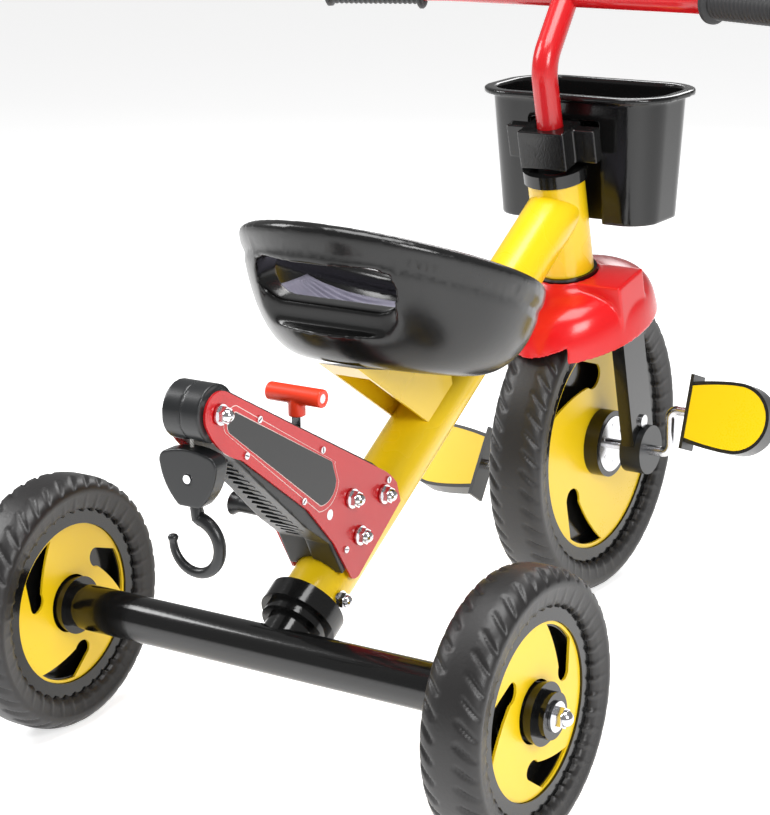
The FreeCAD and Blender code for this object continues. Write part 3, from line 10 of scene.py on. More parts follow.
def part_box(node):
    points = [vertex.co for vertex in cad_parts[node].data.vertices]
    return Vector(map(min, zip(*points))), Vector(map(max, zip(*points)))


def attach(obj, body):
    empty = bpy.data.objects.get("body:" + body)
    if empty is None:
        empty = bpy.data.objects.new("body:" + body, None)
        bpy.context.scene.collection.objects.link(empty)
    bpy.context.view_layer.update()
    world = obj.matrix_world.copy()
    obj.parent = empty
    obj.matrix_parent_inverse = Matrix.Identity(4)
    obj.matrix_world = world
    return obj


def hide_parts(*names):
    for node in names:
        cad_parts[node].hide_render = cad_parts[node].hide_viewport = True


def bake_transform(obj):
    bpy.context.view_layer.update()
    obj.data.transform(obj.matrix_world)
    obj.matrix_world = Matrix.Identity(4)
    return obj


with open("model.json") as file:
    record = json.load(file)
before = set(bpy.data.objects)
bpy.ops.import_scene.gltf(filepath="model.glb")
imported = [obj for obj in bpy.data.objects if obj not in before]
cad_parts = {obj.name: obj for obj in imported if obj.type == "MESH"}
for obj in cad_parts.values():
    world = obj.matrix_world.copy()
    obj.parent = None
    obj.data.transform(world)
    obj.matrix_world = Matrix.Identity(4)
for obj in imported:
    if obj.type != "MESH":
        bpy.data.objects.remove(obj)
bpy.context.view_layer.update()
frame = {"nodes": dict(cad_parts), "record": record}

# Children's tricycle with a toy crane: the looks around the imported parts. Metres, +Z up, +Y forward.

# Studio: a pale floor, a white room and four soft lamps, seen from behind the rider's right shoulder.
VIEW_FROM = (0.96642, -1.5811, 0.76007)
VIEW_YAW, VIEW_PITCH, VIEW_ROLL = (math.radians(angle) for angle in (33.632, 16.213, -1.213))
scene = bpy.context.scene
ahead = Vector((-math.sin(VIEW_YAW) * math.cos(VIEW_PITCH), math.cos(VIEW_YAW) * math.cos(VIEW_PITCH),
                -math.sin(VIEW_PITCH)))
level = Vector((math.cos(VIEW_YAW), math.sin(VIEW_YAW), 0))
upward = level.cross(ahead)
side_way = level * math.cos(VIEW_ROLL) + upward * math.sin(VIEW_ROLL)
top_way = upward * math.cos(VIEW_ROLL) - level * math.sin(VIEW_ROLL)
camera = bpy.data.objects.new("camera", bpy.data.cameras.new("camera"))
scene.collection.objects.link(camera)
camera.matrix_world = Matrix.Translation(VIEW_FROM) @ Matrix((side_way, top_way, -ahead)).transposed().to_4x4()
camera.data.sensor_width = 36
camera.data.lens = 104.18
camera.data.shift_x = 0.0211
camera.data.shift_y = 0.0053
scene.camera = camera
scene.view_settings.view_transform = "Standard"
scene.world = bpy.data.worlds.new("white_room")
scene.world.use_nodes = True
room = scene.world.node_tree
room_light = room.nodes["Background"]
room_light.inputs["Color"].default_value = (1, 1, 1, 1)
room_light.inputs["Strength"].default_value = 0.28
seen_wall = room.nodes.new("ShaderNodeBackground")
seen_wall.inputs["Color"].default_value = (1, 1, 1, 1)
seen_wall.inputs["Strength"].default_value = 1.0
seen = room.nodes.new("ShaderNodeLightPath")
choose = room.nodes.new("ShaderNodeMixShader")
room.links.new(seen.outputs["Is Camera Ray"], choose.inputs["Fac"])
room.links.new(room_light.outputs[0], choose.inputs[1])
room.links.new(seen_wall.outputs[0], choose.inputs[2])
room.links.new(choose.outputs[0], room.nodes["World Output"].inputs["Surface"])
LAMPS = (("over", (0.1, -0.2, 1.7), 1.0, 24), ("right", (1.5, -0.9, 1.2), 0.7, 20),
         ("left", (-1.5, -0.6, 1.4), 0.8, 20), ("front", (-0.5, 1.9, 1.4), 0.9, 14))
LIT_SPOT = Vector((0, 0, 0.25))
for name, place, size, power in LAMPS:
    lamp = bpy.data.objects.new(f"lamp_{name}", bpy.data.lights.new(f"lamp_{name}", "AREA"))
    lamp.data.size = size
    lamp.data.energy = power
    lamp.location = place
    lamp.rotation_euler = (LIT_SPOT - Vector(place)).to_track_quat("-Z", "Y").to_euler()
    scene.collection.objects.link(lamp)


# Finishes: each is one Principled shader whose colour, gloss and fine bumps vary a little over the surface. The
# object is moulded plastic, powder-coated tube and bright fasteners.
class Wire:
    """A number that changes over a surface: Python's operators on it add Math nodes."""

    def __init__(self, finish, socket):
        self.finish = finish
        self.socket = socket

    def math(self, operation, *values):
        return self.finish.add("ShaderNodeMath", {"operation": operation}, dict(enumerate(values)))

    def __add__(self, other):
        return self.math("ADD", self, other)

    def __sub__(self, other):
        return self.math("SUBTRACT", self, other)

    def __rsub__(self, other):
        return self.math("SUBTRACT", other, self)

    def __mul__(self, other):
        return self.math("MULTIPLY", self, other)

    __radd__ = __add__
    __rmul__ = __mul__


class Finish:
    """A material on Object coordinates, made around one Principled shader."""

    def __init__(self, name, colour, rough, metal=0.0, coat=0.0, sheen=0.0):
        self.material = bpy.data.materials.new(name)
        self.material.use_nodes = True
        self.material.diffuse_color = (*colour, 1)
        self.tree = self.material.node_tree
        self.shader = self.tree.nodes["Principled BSDF"]
        self.colour = (*colour, 1)
        self.place = self.add("ShaderNodeTexCoord", out="Object")
        self.set("Base Color", self.colour)
        self.set("Roughness", rough)
        self.set("Metallic", metal)
        self.set("Coat Weight", coat)
        self.set("Coat Roughness", 0.06)
        self.set("Sheen Weight", sheen)

    def add(self, kind, settings=None, sockets=None, out=0):
        """A node of a type, with its settings and then the values or links of its sockets."""
        made = self.tree.nodes.new(kind)
        for name, value in (settings or {}).items():
            if name == "stops":
                for stop, (at, colour) in zip(made.color_ramp.elements, value):
                    stop.position = at
                    stop.color = colour
            else:
                setattr(made, name, value)
        for key, value in (sockets or {}).items():
            if isinstance(value, Wire):
                self.tree.links.new(value.socket, made.inputs[key])
            else:
                made.inputs[key].default_value = value
        return Wire(self, made.outputs[out])

    def set(self, name, value):
        """Give one socket of the shader a value or a link."""
        if isinstance(value, Wire):
            self.tree.links.new(value.socket, self.shader.inputs[name])
        else:
            self.shader.inputs[name].default_value = value

    def noise(self, scale, detail=3.0, stretch=(1, 1, 1)):
        """Cloudy noise of `scale` features to the metre, about 0 to 1."""
        spot = self.add("ShaderNodeMapping", sockets={"Vector": self.place, "Scale": stretch})
        return self.add("ShaderNodeTexNoise", sockets={"Vector": spot, "Scale": scale, "Detail": detail})

    def blend(self, share, low, high):
        """A colour between two by a share of 0 to 1."""
        return self.add("ShaderNodeMix", {"data_type": "RGBA"}, {0: share, 6: low, 7: high}, out=2)

    def shade(self, factor):
        """The finish's own colour, made darker or paler."""
        return tuple(min(1.0, part * factor) for part in self.colour[:3]) + (1,)

    def dent(self, height, depth):
        """Turn a height of 0 to 1 into bumps of a depth in metres."""
        bumps = {"Height": height, "Distance": depth, "Strength": 1.0}
        self.set("Normal", self.add("ShaderNodeBump", sockets=bumps))


def clamp(wire):
    """Hold a number between 0 and 1."""
    return wire.finish.add("ShaderNodeClamp", sockets={"Value": wire})


def dusty(finish, rough, grain, depth, dust=0.12):
    """Fine grain, roughness that varies a little, and a faint grey bloom as handled plastic has."""
    cloud = finish.noise(9, 4)
    fine = finish.noise(grain, 2)
    worn = clamp((cloud - 0.45) * 3)
    pale = tuple(part * 0.9 + 0.03 for part in finish.colour[:3]) + (1,)
    finish.set("Base Color", finish.blend(worn * dust, finish.colour, pale))
    finish.set("Roughness", rough + (cloud - 0.5) * 0.14 + (fine - 0.5) * 0.06)
    finish.dent(fine, depth)
    return finish.material


def moulded(name, colour, rough, grain=700, depth=0.00004):
    """Injection-moulded plastic."""
    return dusty(Finish(name, colour, rough), rough, grain, depth)


def painted(name, colour, rough=0.28):
    """Powder-coated steel: a clear coat over colour with a slight orange-peel skin."""
    finish = Finish(name, colour, rough, coat=0.25)
    peel = finish.noise(320, 2)
    cloud = finish.noise(7, 3)
    finish.set("Base Color", finish.blend(cloud, finish.shade(0.93), finish.shade(1.05)))
    finish.set("Roughness", rough + (cloud - 0.5) * 0.10)
    finish.dent(peel, 0.00005)
    return finish.material


def plated(name, colour, rough, stretch=(1, 1, 1)):
    """Bright metal with faint rubbing marks drawn out along one way."""
    finish = Finish(name, colour, rough, metal=1.0)
    marks = finish.noise(900, 2, stretch)
    finish.set("Roughness", rough + (marks - 0.5) * 0.12)
    finish.dent(marks, 0.00001)
    return finish.material


def ribbed_pad(name, colour):
    """Textured insert: fine ribs across and a soft mottled grey."""
    finish = Finish(name, colour, 0.6)
    cloud = finish.noise(60, 4)
    finish.set("Base Color", finish.blend(cloud, finish.shade(0.75), finish.shade(1.25)))
    finish.dent(finish.noise(500, 2, (1, 6, 1)), 0.0002)
    return finish.material


def braided(name, colour):
    """Twisted cord: slanting strands from a wave along its length, as bumps and as painted shade that darkens the
    grooves between them.
    """
    finish = Finish(name, colour, 0.8, sheen=0.3)
    strands_and_groove_shade = finish.add("ShaderNodeTexWave", {"bands_direction": "DIAGONAL"},
                         {"Vector": finish.place, "Scale": 260.0, "Distortion": 1.0}, out="Fac")
    # Painted shade: the colour is darker where the wave is low, in the grooves between the strands.
    finish.set("Base Color", finish.blend(strands_and_groove_shade, finish.shade(0.55), finish.shade(1.1)))
    finish.dent(strands_and_groove_shade, 0.0003)
    return finish.material


YELLOW = (0.82, 0.55, 0.006)
RED = (0.58, 0.008, 0.009)
FINISHES = {
    "tyre_foam": moulded("tyre_foam", (0.014, 0.013, 0.013), 0.42, 420, 0.00010),
    "black_moulding": moulded("black_moulding", (0.004, 0.004, 0.004), 0.13),
    "satin_moulding": moulded("satin_moulding", (0.011, 0.012, 0.013), 0.30, 900, 0.00003),
    "yellow_moulding": moulded("yellow_moulding", YELLOW, 0.30),
    "yellow_paint": painted("yellow_paint", YELLOW),
    "black_paint": painted("black_paint", (0.004, 0.004, 0.004), 0.16),
    "red_paint": painted("red_paint", (0.50, 0.006, 0.009), 0.24),
    "red_moulding": moulded("red_moulding", (0.62, 0.008, 0.010), 0.22, 500, 0.00002),
    "lever_red": moulded("lever_red", (0.80, 0.045, 0.012), 0.34),
    "chrome_part": plated("chrome_part", (0.72, 0.72, 0.74), 0.17),
    "zinc_steel": plated("zinc_steel", (0.66, 0.66, 0.68), 0.24, (8, 1, 1)),
    "soft_grip": moulded("soft_grip", (0.012, 0.012, 0.013), 0.55, 800, 0.00008),
    "blow_moulded_seat": moulded("blow_moulded_seat", (0.005, 0.005, 0.005), 0.24, 260, 0.00004),
    "grey_pad": ribbed_pad("grey_pad", (0.22, 0.21, 0.27)),
    "pale_cord": braided("pale_cord", (0.62, 0.61, 0.58)),
    "white_pin": plated("white_pin", (0.85, 0.85, 0.86), 0.2),
    "badge_line": moulded("badge_line", (0.75, 0.55, 0.52), 0.35),
}
for row in frame["record"]["subparts"]:
    cad = frame["nodes"][row["node"]]
    finish_name = "black_moulding" if row["node"] == "crane_badges" else row["material_slot"]
    cad.data.materials.clear()
    cad.data.materials.append(FINISHES[finish_name])
floor_finish = Finish("pale_floor", (0.93, 0.93, 0.93), 0.55)
floor_finish.set("Roughness", 0.5 + floor_finish.noise(3) * 0.1)
floor_finish.set("Emission Color", (1, 1, 1, 1))
floor_finish.set("Emission Strength", 0.62)
FLOOR_HALF, FLOOR_DROP = 30.0, 0.0005
floor_corners = [(x * FLOOR_HALF, y * FLOOR_HALF, -FLOOR_DROP) for x, y in ((-1, -1), (1, -1), (1, 1), (-1, 1))]
floor_mesh = bpy.data.meshes.new("floor")
floor_mesh.from_pydata(floor_corners, [], [(0, 1, 2, 3)])
floor_mesh.materials.append(floor_finish.material)
floor = bpy.data.objects.new("floor", floor_mesh)
scene.collection.objects.link(floor)


def finished(name, mesh, body, slot, replaced=(), smooth=True):
    """Link a finished mesh as a piece on a body, in the slot's finish, standing for the CAD nodes it replaces."""
    mesh.materials.clear()
    mesh.materials.append(FINISHES[slot])
    if smooth:
        mesh.shade_smooth()
    piece = bpy.data.objects.new(name, mesh)
    scene.collection.objects.link(piece)
    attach(piece, body)
    if replaced:
        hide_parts(*replaced)
    return piece


# Tyres: one-piece foam, a domed tread with a ring of slanting slits on each shoulder and a plain sidewall that
# dips to the rim.
def turned(name, centre, axis, profile, steps, dent=None):
    """A closed ring about an axis from (along, radius) points; dent(along, share of a turn) lowers the radius."""
    axis = Vector(axis).normalized()
    across = axis.orthogonal().normalized()
    over = axis.cross(across)
    verts = []
    faces = []
    count = len(profile)
    for step in range(steps):
        turn = 2 * math.pi * step / steps
        spoke = across * math.cos(turn) + over * math.sin(turn)
        for along, radius in profile:
            reach = radius - (dent(along, step / steps) if dent else 0)
            verts.append(Vector(centre) + axis * along + spoke * reach)
        for row in range(count):
            here, there = step * count, (step + 1) % steps * count
            after = (row + 1) % count
            faces.append((here + row, there + row, there + after, here + after))
    mesh = bpy.data.meshes.new(name)
    mesh.from_pydata(verts, [], faces)
    return outward(mesh)


def outward(mesh):
    """Point all faces out."""
    work = bmesh.new()
    work.from_mesh(mesh)
    bmesh.ops.recalc_face_normals(work, faces=work.faces)
    work.to_mesh(mesh)
    work.free()
    return mesh


TREAD_ROWS = 12
SLIT_DEPTH = 0.0024
SLIT_SHARE = 0.17
SLIT_REACH, SLIT_LEAN = 0.0150, 0.9


def tyre_profile(radius, width, seat):
    """(x, radius) round the section: bead, hollow sidewall, shoulder and crown."""
    half = width / 2
    wall = [(half - 0.006, seat), (half - 0.0035, seat + 0.0015), (half - 0.002, seat + 0.006),
            (half - 0.0004, (radius + seat) / 2), (half, radius - 0.012)]
    shoulder = []
    for step in range(TREAD_ROWS + 1):
        share = step / TREAD_ROWS
        way = math.radians(90 * share)
        shoulder.append(((half - 0.018) + 0.018 * math.cos(way), radius - 0.010 + 0.010 * math.sin(way)))
    right = wall + shoulder
    return right + [(0, radius)] + [(-x, r) for x, r in reversed(right)]


def slits(width, count):
    """Slanting slits on both shoulders, running opposite ways."""
    half = width / 2

    def dent(x, turn):
        share = (half - 0.0004 - abs(x)) / SLIT_REACH
        if not 0 < share < 1:
            return 0
        lean = SLIT_LEAN if x > 0 else -SLIT_LEAN
        phase = (turn * count + lean * share + (0.5 if x > 0 else 0)) % 1
        across = abs(phase - 0.5) / SLIT_SHARE
        return SLIT_DEPTH * max(0, 1 - across * across) * math.sin(math.pi * share) ** 0.5
    return dent


TYRES = (("left_rear_tyre", "rear_left_tyre", "rear_wheel_left", 40),
         ("right_rear_tyre", "rear_right_tyre", "rear_wheel_right", 40),
         ("steered_tyre", "front_tyre", "front_wheel", 50))
STEPS_PER_SLIT = 14
for name, node, body, count in TYRES:
    low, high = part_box(node)
    middle = (low + high) / 2
    rim_low, rim_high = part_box(node.replace("tyre", "rim"))
    section = tyre_profile((high.z - low.z) / 2, high.x - low.x, (rim_high.z - rim_low.z) / 2)
    ring = turned(name, middle, (1, 0, 0), section, count * STEPS_PER_SLIT, slits(high.x - low.x, count))
    finished(name, ring, body, "tyre_foam", [node])


# Soft mouldings: the seat, fender, basket, clamp, boom shells, hook block and handles are plastic with rounded
# edges, so each is its CAD shape remade as one even skin and eased.
def eased(name, nodes, body, slot, voxel, passes, keep=0.5, extras=()):
    """The CAD nodes and any extra meshes as one smooth skin, in place of the nodes."""
    work = bmesh.new()
    for node in nodes:
        work.from_mesh(frame["nodes"][node].data)
    for mesh in extras:
        work.from_mesh(mesh)
    bmesh.ops.remove_doubles(work, verts=work.verts, dist=0.000001)
    raw = bpy.data.meshes.new(f"{name}_raw")
    work.to_mesh(raw)
    work.free()
    maker = bpy.data.objects.new(f"{name}_maker", raw)
    scene.collection.objects.link(maker)
    skin = maker.modifiers.new("even_skin", "REMESH")
    skin.mode = "VOXEL"
    skin.voxel_size = voxel
    ease = maker.modifiers.new("ease", "SMOOTH")
    ease.factor = 0.5
    ease.iterations = passes
    thin = maker.modifiers.new("thin_out", "DECIMATE")
    thin.ratio = keep
    bpy.context.view_layer.update()
    mesh = bpy.data.meshes.new_from_object(maker.evaluated_get(bpy.context.evaluated_depsgraph_get()))
    bpy.data.objects.remove(maker)
    return finished(name, mesh, body, slot, nodes)


def looped_tube(name, points, radius, sides=12):
    """A closed tube round a ring of points."""
    verts = []
    faces = []
    count = len(points)
    for index, point in enumerate(points):
        way = (points[(index + 1) % count] - points[index - 1]).normalized()
        across = way.cross(Vector((0, 0, 1))).normalized()
        over = across.cross(way)
        for corner in range(sides):
            angle = 2 * math.pi * corner / sides
            verts.append(point + (across * math.cos(angle) + over * math.sin(angle)) * radius)
        for corner in range(sides):
            after = (corner + 1) % sides
            there = (index + 1) % count * sides
            faces.append((index * sides + corner, index * sides + after, there + after, there + corner))
    mesh = bpy.data.meshes.new(name)
    mesh.from_pydata(verts, [], faces)
    return outward(mesh)


def bar_mesh(name, path, sides=20):
    """A round bar along (point, radius) stations that lie in one plane across Y, closed at both ends."""
    verts = []
    faces = []
    for index, (point, radius) in enumerate(path):
        before, after = path[max(index - 1, 0)][0], path[min(index + 1, len(path) - 1)][0]
        over = (after - before).normalized().cross(Vector((0, 1, 0)))
        for corner in range(sides):
            angle = 2 * math.pi * corner / sides
            verts.append(point + (Vector((0, 1, 0)) * math.cos(angle) + over * math.sin(angle)) * radius)
        if index:
            for corner in range(sides):
                after = (corner + 1) % sides
                low = (index - 1) * sides
                faces.append((low + corner, low + after, low + sides + after, low + sides + corner))
    faces.append(tuple(range(sides)))
    faces.append(tuple(range(len(verts) - sides, len(verts))))
    mesh = bpy.data.meshes.new(name)
    mesh.from_pydata(verts, [], faces)
    return outward(mesh)


# Seat: a blow-moulded bucket with a thick rolled rim and a hand hole in its back.
SEAT_TILT = math.radians(22.8)
RIM_ROLL = 0.0075
RIM_HALF_WIDE, RIM_HALF_LONG, RIM_SUNK = 0.1105, 0.1205, 0.003
RIM_STEPS = 96
rim_centre = Vector((0, -0.0887, 0.3636))
rim_points = []
for step in range(RIM_STEPS):
    turn = 2 * math.pi * step / RIM_STEPS
    x, ahead_by = RIM_HALF_WIDE * math.cos(turn), RIM_HALF_LONG * math.sin(turn)
    fall = ahead_by * math.sin(SEAT_TILT) + RIM_SUNK
    rim_points.append(rim_centre + Vector((x, ahead_by * math.cos(SEAT_TILT), -fall)))
seat = eased("bucket_seat", ["seat_shell"], "frame", "blow_moulded_seat", 0.0019, 14, 0.35,
             [looped_tube("seat_rim_roll", rim_points, RIM_ROLL)])
rim_up = Vector((0, math.sin(SEAT_TILT), math.cos(SEAT_TILT)))
CREASE_DROP, CREASE_WIDE, CREASE_DEEP = 0.0165, 0.0035, 0.0022
WALL_DRAW, WALL_TALL = 0.0012, 0.075
for vertex in seat.data.vertices:
    out = vertex.co - rim_centre
    drop = -out.dot(rim_up)
    out -= rim_up * out.dot(rim_up)
    if vertex.normal.dot(out) > 0:
        near = (drop - CREASE_DROP) / CREASE_WIDE
        below = min(max(drop - CREASE_DROP, 0) / CREASE_WIDE, 1) * max(0, 1 - drop / WALL_TALL)
        vertex.co -= out.normalized() * (CREASE_DEEP * math.exp(-near * near) + WALL_DRAW * below)

# Seat pad: a thin sheet with fine ribs across, laid on the bowl and part of the way up its sides and front. It is
# found by looking out from a point over the seat, so that it follows the bowl.
bowls = [BVHTree.FromPolygons([v.co[:] for v in shape.vertices], [p.vertices[:] for p in shape.polygons])
         for shape in (seat.data, frame["nodes"]["seat_pad"].data)]
PAD_EYE = Vector((0, -0.088, 0.420))
PAD_SIDE, PAD_BACK, PAD_FRONT = math.radians(51), math.radians(-38), math.radians(41)
RIB_PITCH, RIB_HIGH, PAD_THICK = 0.0050, 0.0014, 0.0012
PAD_BEDDED, PAD_LIFT = 0.0004, 0.0002
COLUMNS, ROWS = 44, 340
top_verts = []
low_verts = []
for column in range(COLUMNS + 1):
    across = 2 * column / COLUMNS - 1
    round_off = 1 - 0.5 * abs(across) ** 3
    for row in range(ROWS + 1):
        lean = (PAD_BACK + (PAD_FRONT - PAD_BACK) * row / ROWS) * round_off
        way = Vector((math.tan(PAD_SIDE * across), math.tan(lean), -1)).normalized()
        reach = min(hit[3] for hit in (bowl.ray_cast(PAD_EYE, way) for bowl in bowls) if hit[3] is not None)
        border = min(1, column / 2, (COLUMNS - column) / 2, row / 6, (ROWS - row) / 6)
        rib = RIB_HIGH * math.sin(math.pi * (PAD_EYE.y + way.y * reach) / RIB_PITCH) ** 2
        low_verts.append(PAD_EYE + way * (reach + PAD_BEDDED))
        top_verts.append(PAD_EYE + way * (reach - PAD_LIFT - (PAD_THICK + rib) * border))
count = len(top_verts)
faces = []
for column in range(COLUMNS):
    for row in range(ROWS):
        here = column * (ROWS + 1) + row
        quad = (here, here + ROWS + 1, here + ROWS + 2, here + 1)
        faces += [quad, tuple(count + index for index in reversed(quad))]
edge = list(range(ROWS + 1)) + [column * (ROWS + 1) + ROWS for column in range(1, COLUMNS + 1)]
edge += [COLUMNS * (ROWS + 1) + row for row in range(ROWS - 1, -1, -1)]
edge += [column * (ROWS + 1) for column in range(COLUMNS - 1, 0, -1)]
faces += [(here, there, count + there, count + here) for here, there in zip(edge, edge[1:] + edge[:1])]
pad_mesh = bpy.data.meshes.new("pad_sheet")
pad_mesh.from_pydata(top_verts + low_verts, [], faces)
finished("pad_sheet", outward(pad_mesh), "frame", "grey_pad", ["seat_pad"])

# Fender, basket and clamp.
eased("front_fender", ["fender"], "steering", "red_moulding", 0.0011, 10, 0.3)
eased("front_basket", ["basket"], "steering", "black_moulding", 0.0013, 5, 0.3)
eased("basket_clamp", ["basket_bracket"], "steering", "black_moulding", 0.0010, 5, 0.4)

# Crane: boom shells and hook block.
eased("boom_half_right", ["boom_shell_right"], "frame", "satin_moulding", 0.0009, 3, 0.4)
eased("boom_half_left", ["boom_shell_left"], "frame", "satin_moulding", 0.0009, 3, 0.4)
eased("pulley_block", ["hook_block"], "hook_block", "satin_moulding", 0.0007, 8, 0.4)

# Hook: a bar that narrows from the knuckle to a small ball at the tip.
HOOK_BEND = 0.0205
HOOK_START, HOOK_SWEEP = math.radians(82), math.radians(262)
HOOK_STEPS = 56
HOOK_THICK, HOOK_NARROWING = 0.0050, 0.0021
hook_low, hook_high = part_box("hook")
hook_middle = Vector((0, (hook_low.y + hook_high.y) / 2, hook_low.z + HOOK_BEND + 0.0055))
hook_path = [(hook_middle + Vector((0.0015, 0, HOOK_BEND + 0.0195 - 0.004 * step)), 0.0034 + 0.0004 * step)
             for step in range(4)]
for step in range(HOOK_STEPS + 1):
    way = HOOK_START - HOOK_SWEEP * step / HOOK_STEPS
    thick = HOOK_THICK - HOOK_NARROWING * (step / HOOK_STEPS) ** 1.4
    hook_path.append((hook_middle + Vector((math.cos(way), 0, math.sin(way))) * HOOK_BEND, thick))
tip_way = Vector((math.sin(way), 0, -math.cos(way)))
hook_path += [(hook_path[-1][0] + tip_way * 0.0010, 0.0036), (hook_path[-1][0] + tip_way * 0.0026, 0.0040),
              (hook_path[-1][0] + tip_way * 0.0044, 0.0028), (hook_path[-1][0] + tip_way * 0.0052, 0.0006)]
finished("crane_hook", bar_mesh("crane_hook", hook_path), "hook", "satin_moulding", ["hook"])

# Handles of the pawl lever and the winch.
eased("lever_grip", ["lever_handle"], "pawl_lever", "lever_red", 0.0006, 8, 0.4)
eased("winch_knob", ["crank_knob"], "crank_knob", "satin_moulding", 0.0006, 4, 0.4)

# Cord: a pale twisted line out of the drum's opening to the hook block.
fall_low, fall_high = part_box("cord_fall")
fall_middle = (fall_low + fall_high) / 2
CORD_RADIUS, CORD_CORE = 0.0015, 0.0003
CORD_ROWS, CORD_SIDES = 40, 14
fall_tall = fall_high.z - fall_low.z
rows = [(-fall_tall / 2 + fall_tall * step / CORD_ROWS, CORD_RADIUS) for step in range(CORD_ROWS + 1)]
cord_section = [(rows[0][0], CORD_CORE), *rows, (rows[-1][0], CORD_CORE)]
cord_mesh = turned("cord", fall_middle, (0, 0, 1), cord_section, CORD_SIDES)
cord_mesh.materials.append(FINISHES["pale_cord"])
cord_mesh.shade_smooth()
cord = bpy.data.objects.new("hoist_cord", cord_mesh)
scene.collection.objects.link(cord)
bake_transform(cord)
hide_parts("cord_fall")

# Repeated small pieces: one geometry tree sets a piece on every point of a mesh, turned and sized by the points.
scatter = bpy.data.node_groups.new("scatter", "GeometryNodeTree")
for title, flow, kind in (("Points", "INPUT", "NodeSocketGeometry"), ("Piece", "INPUT", "NodeSocketObject"),
                          ("Finish", "INPUT", "NodeSocketMaterial"), ("Result", "OUTPUT", "NodeSocketGeometry")):
    scatter.interface.new_socket(title, in_out=flow, socket_type=kind)
way_in = scatter.nodes.new("NodeGroupInput")
way_out = scatter.nodes.new("NodeGroupOutput")
dots = scatter.nodes.new("GeometryNodeMeshToPoints")
info = scatter.nodes.new("GeometryNodeObjectInfo")
copies = scatter.nodes.new("GeometryNodeInstanceOnPoints")
spin = scatter.nodes.new("GeometryNodeInputNamedAttribute")
size = scatter.nodes.new("GeometryNodeInputNamedAttribute")
realize = scatter.nodes.new("GeometryNodeRealizeInstances")
dress = scatter.nodes.new("GeometryNodeSetMaterial")
for reader, title in ((spin, "spin"), (size, "size")):
    reader.data_type = "FLOAT_VECTOR"
    reader.inputs["Name"].default_value = title
for source, out, target, into in ((way_in, "Points", dots, "Mesh"), (way_in, "Piece", info, "Object"),
                                  (dots, "Points", copies, "Points"), (info, "Geometry", copies, "Instance"),
                                  (spin, "Attribute", copies, "Rotation"), (size, "Attribute", copies, "Scale"),
                                  (copies, "Instances", realize, "Geometry"),
                                  (realize, "Geometry", dress, "Geometry"),
                                  (way_in, "Finish", dress, "Material"), (dress, "Geometry", way_out, "Result")):
    scatter.links.new(source.outputs[out], target.inputs[into])


def scattered(name, piece_mesh, spots, body, slot):
    """Copies of a small mesh at (place, turn, size) spots, as one plain mesh on a body."""
    carrier = bpy.data.meshes.new(f"{name}_points")
    carrier.from_pydata([spot[0] for spot in spots], [], [])
    for title, column in (("spin", 1), ("size", 2)):
        stored = carrier.attributes.new(title, "FLOAT_VECTOR", "POINT")
        for index, spot in enumerate(spots):
            stored.data[index].vector = spot[column]
    host = bpy.data.objects.new(f"{name}_host", carrier)
    pattern = bpy.data.objects.new(f"{name}_pattern", piece_mesh)
    for thing in (host, pattern):
        scene.collection.objects.link(thing)
    maker = host.modifiers.new("scatter", "NODES")
    maker.node_group = scatter
    sockets = {item.name: item.identifier for item in scatter.interface.items_tree if item.in_out == "INPUT"}
    maker[sockets["Piece"]] = pattern
    maker[sockets["Finish"]] = FINISHES[slot]
    bpy.context.view_layer.update()
    mesh = bpy.data.meshes.new_from_object(host.evaluated_get(bpy.context.evaluated_depsgraph_get()))
    host.modifiers.remove(maker)
    for thing in (host, pattern):
        bpy.data.objects.remove(thing)
    return finished(name, mesh, body, slot, smooth=False)


def small_block(name, wide, long, tall, bevel):
    """A box about its own middle with bevelled edges."""
    work = bmesh.new()
    bmesh.ops.create_cube(work, size=1.0, matrix=Matrix.Diagonal((wide, long, tall, 1)))
    bmesh.ops.bevel(work, geom=work.edges[:], offset=bevel, segments=2, affect="EDGES", profile=0.6)
    mesh = bpy.data.meshes.new(name)
    work.to_mesh(mesh)
    work.free()
    return mesh


# Crane details: places on the side plates are (along, above) the main tube's axis, from its lower end, and the
# plates toe in towards the tube.
TUBE_SLOPE = math.radians(31.341)
CRANE_TOE = math.radians(3.34)
TUBE_FOOT_Y, TUBE_FOOT_Z = -0.2607, 0.0966
PLATE_FOOT_HALF, PLATE_THICK = 0.0217, 0.002


def crane_point(along, above):
    """A point on the middle plane."""
    return Vector((0, TUBE_FOOT_Y + along * math.cos(TUBE_SLOPE) - above * math.sin(TUBE_SLOPE),
                   TUBE_FOOT_Z + along * math.sin(TUBE_SLOPE) + above * math.cos(TUBE_SLOPE)))


def plate_face(spot, side, out):
    """The same point moved out to a side plate's outer face and `out` beyond it."""
    half = PLATE_FOOT_HALF + (spot.y - TUBE_FOOT_Y) * math.tan(CRANE_TOE) + PLATE_THICK / math.cos(CRANE_TOE)
    return Vector((side * (half + out), spot.y, spot.z))


# Badge borders: a pale line and a red band around each black badge, printed in thin layers.
def badge_layer(side, grow, thick):
    """The badge's outline grown evenly, as a thin slab on the plate's face; verts and faces."""
    corners = [v.co for v in frame["nodes"]["crane_badges"].data.vertices if v.co.x * side > 0]
    flat = {(round(corner.y, 5), round(corner.z, 5)) for corner in corners}
    middle = Vector((sum(p[0] for p in flat), sum(p[1] for p in flat))) / len(flat)
    ring = sorted((Vector(p) for p in flat), key=lambda p: math.atan2(p.y - middle.y, p.x - middle.x))
    grown = []
    for index, point in enumerate(ring):
        before, after = ring[index - 1], ring[(index + 1) % len(ring)]
        first = (point - before).normalized()
        second = (after - point).normalized()
        normal = (Vector((first.y, -first.x)) + Vector((second.y, -second.x))).normalized()
        grown.append(point + normal * grow)
    verts = [plate_face(Vector((0, p.x, p.y)), side, out) for out in (0.00002, thick) for p in grown]
    count = len(grown)
    faces = [tuple(range(count)), tuple(range(count, 2 * count))]
    faces += [(i, (i + 1) % count, count + (i + 1) % count, count + i) for i in range(count)]
    return verts, faces


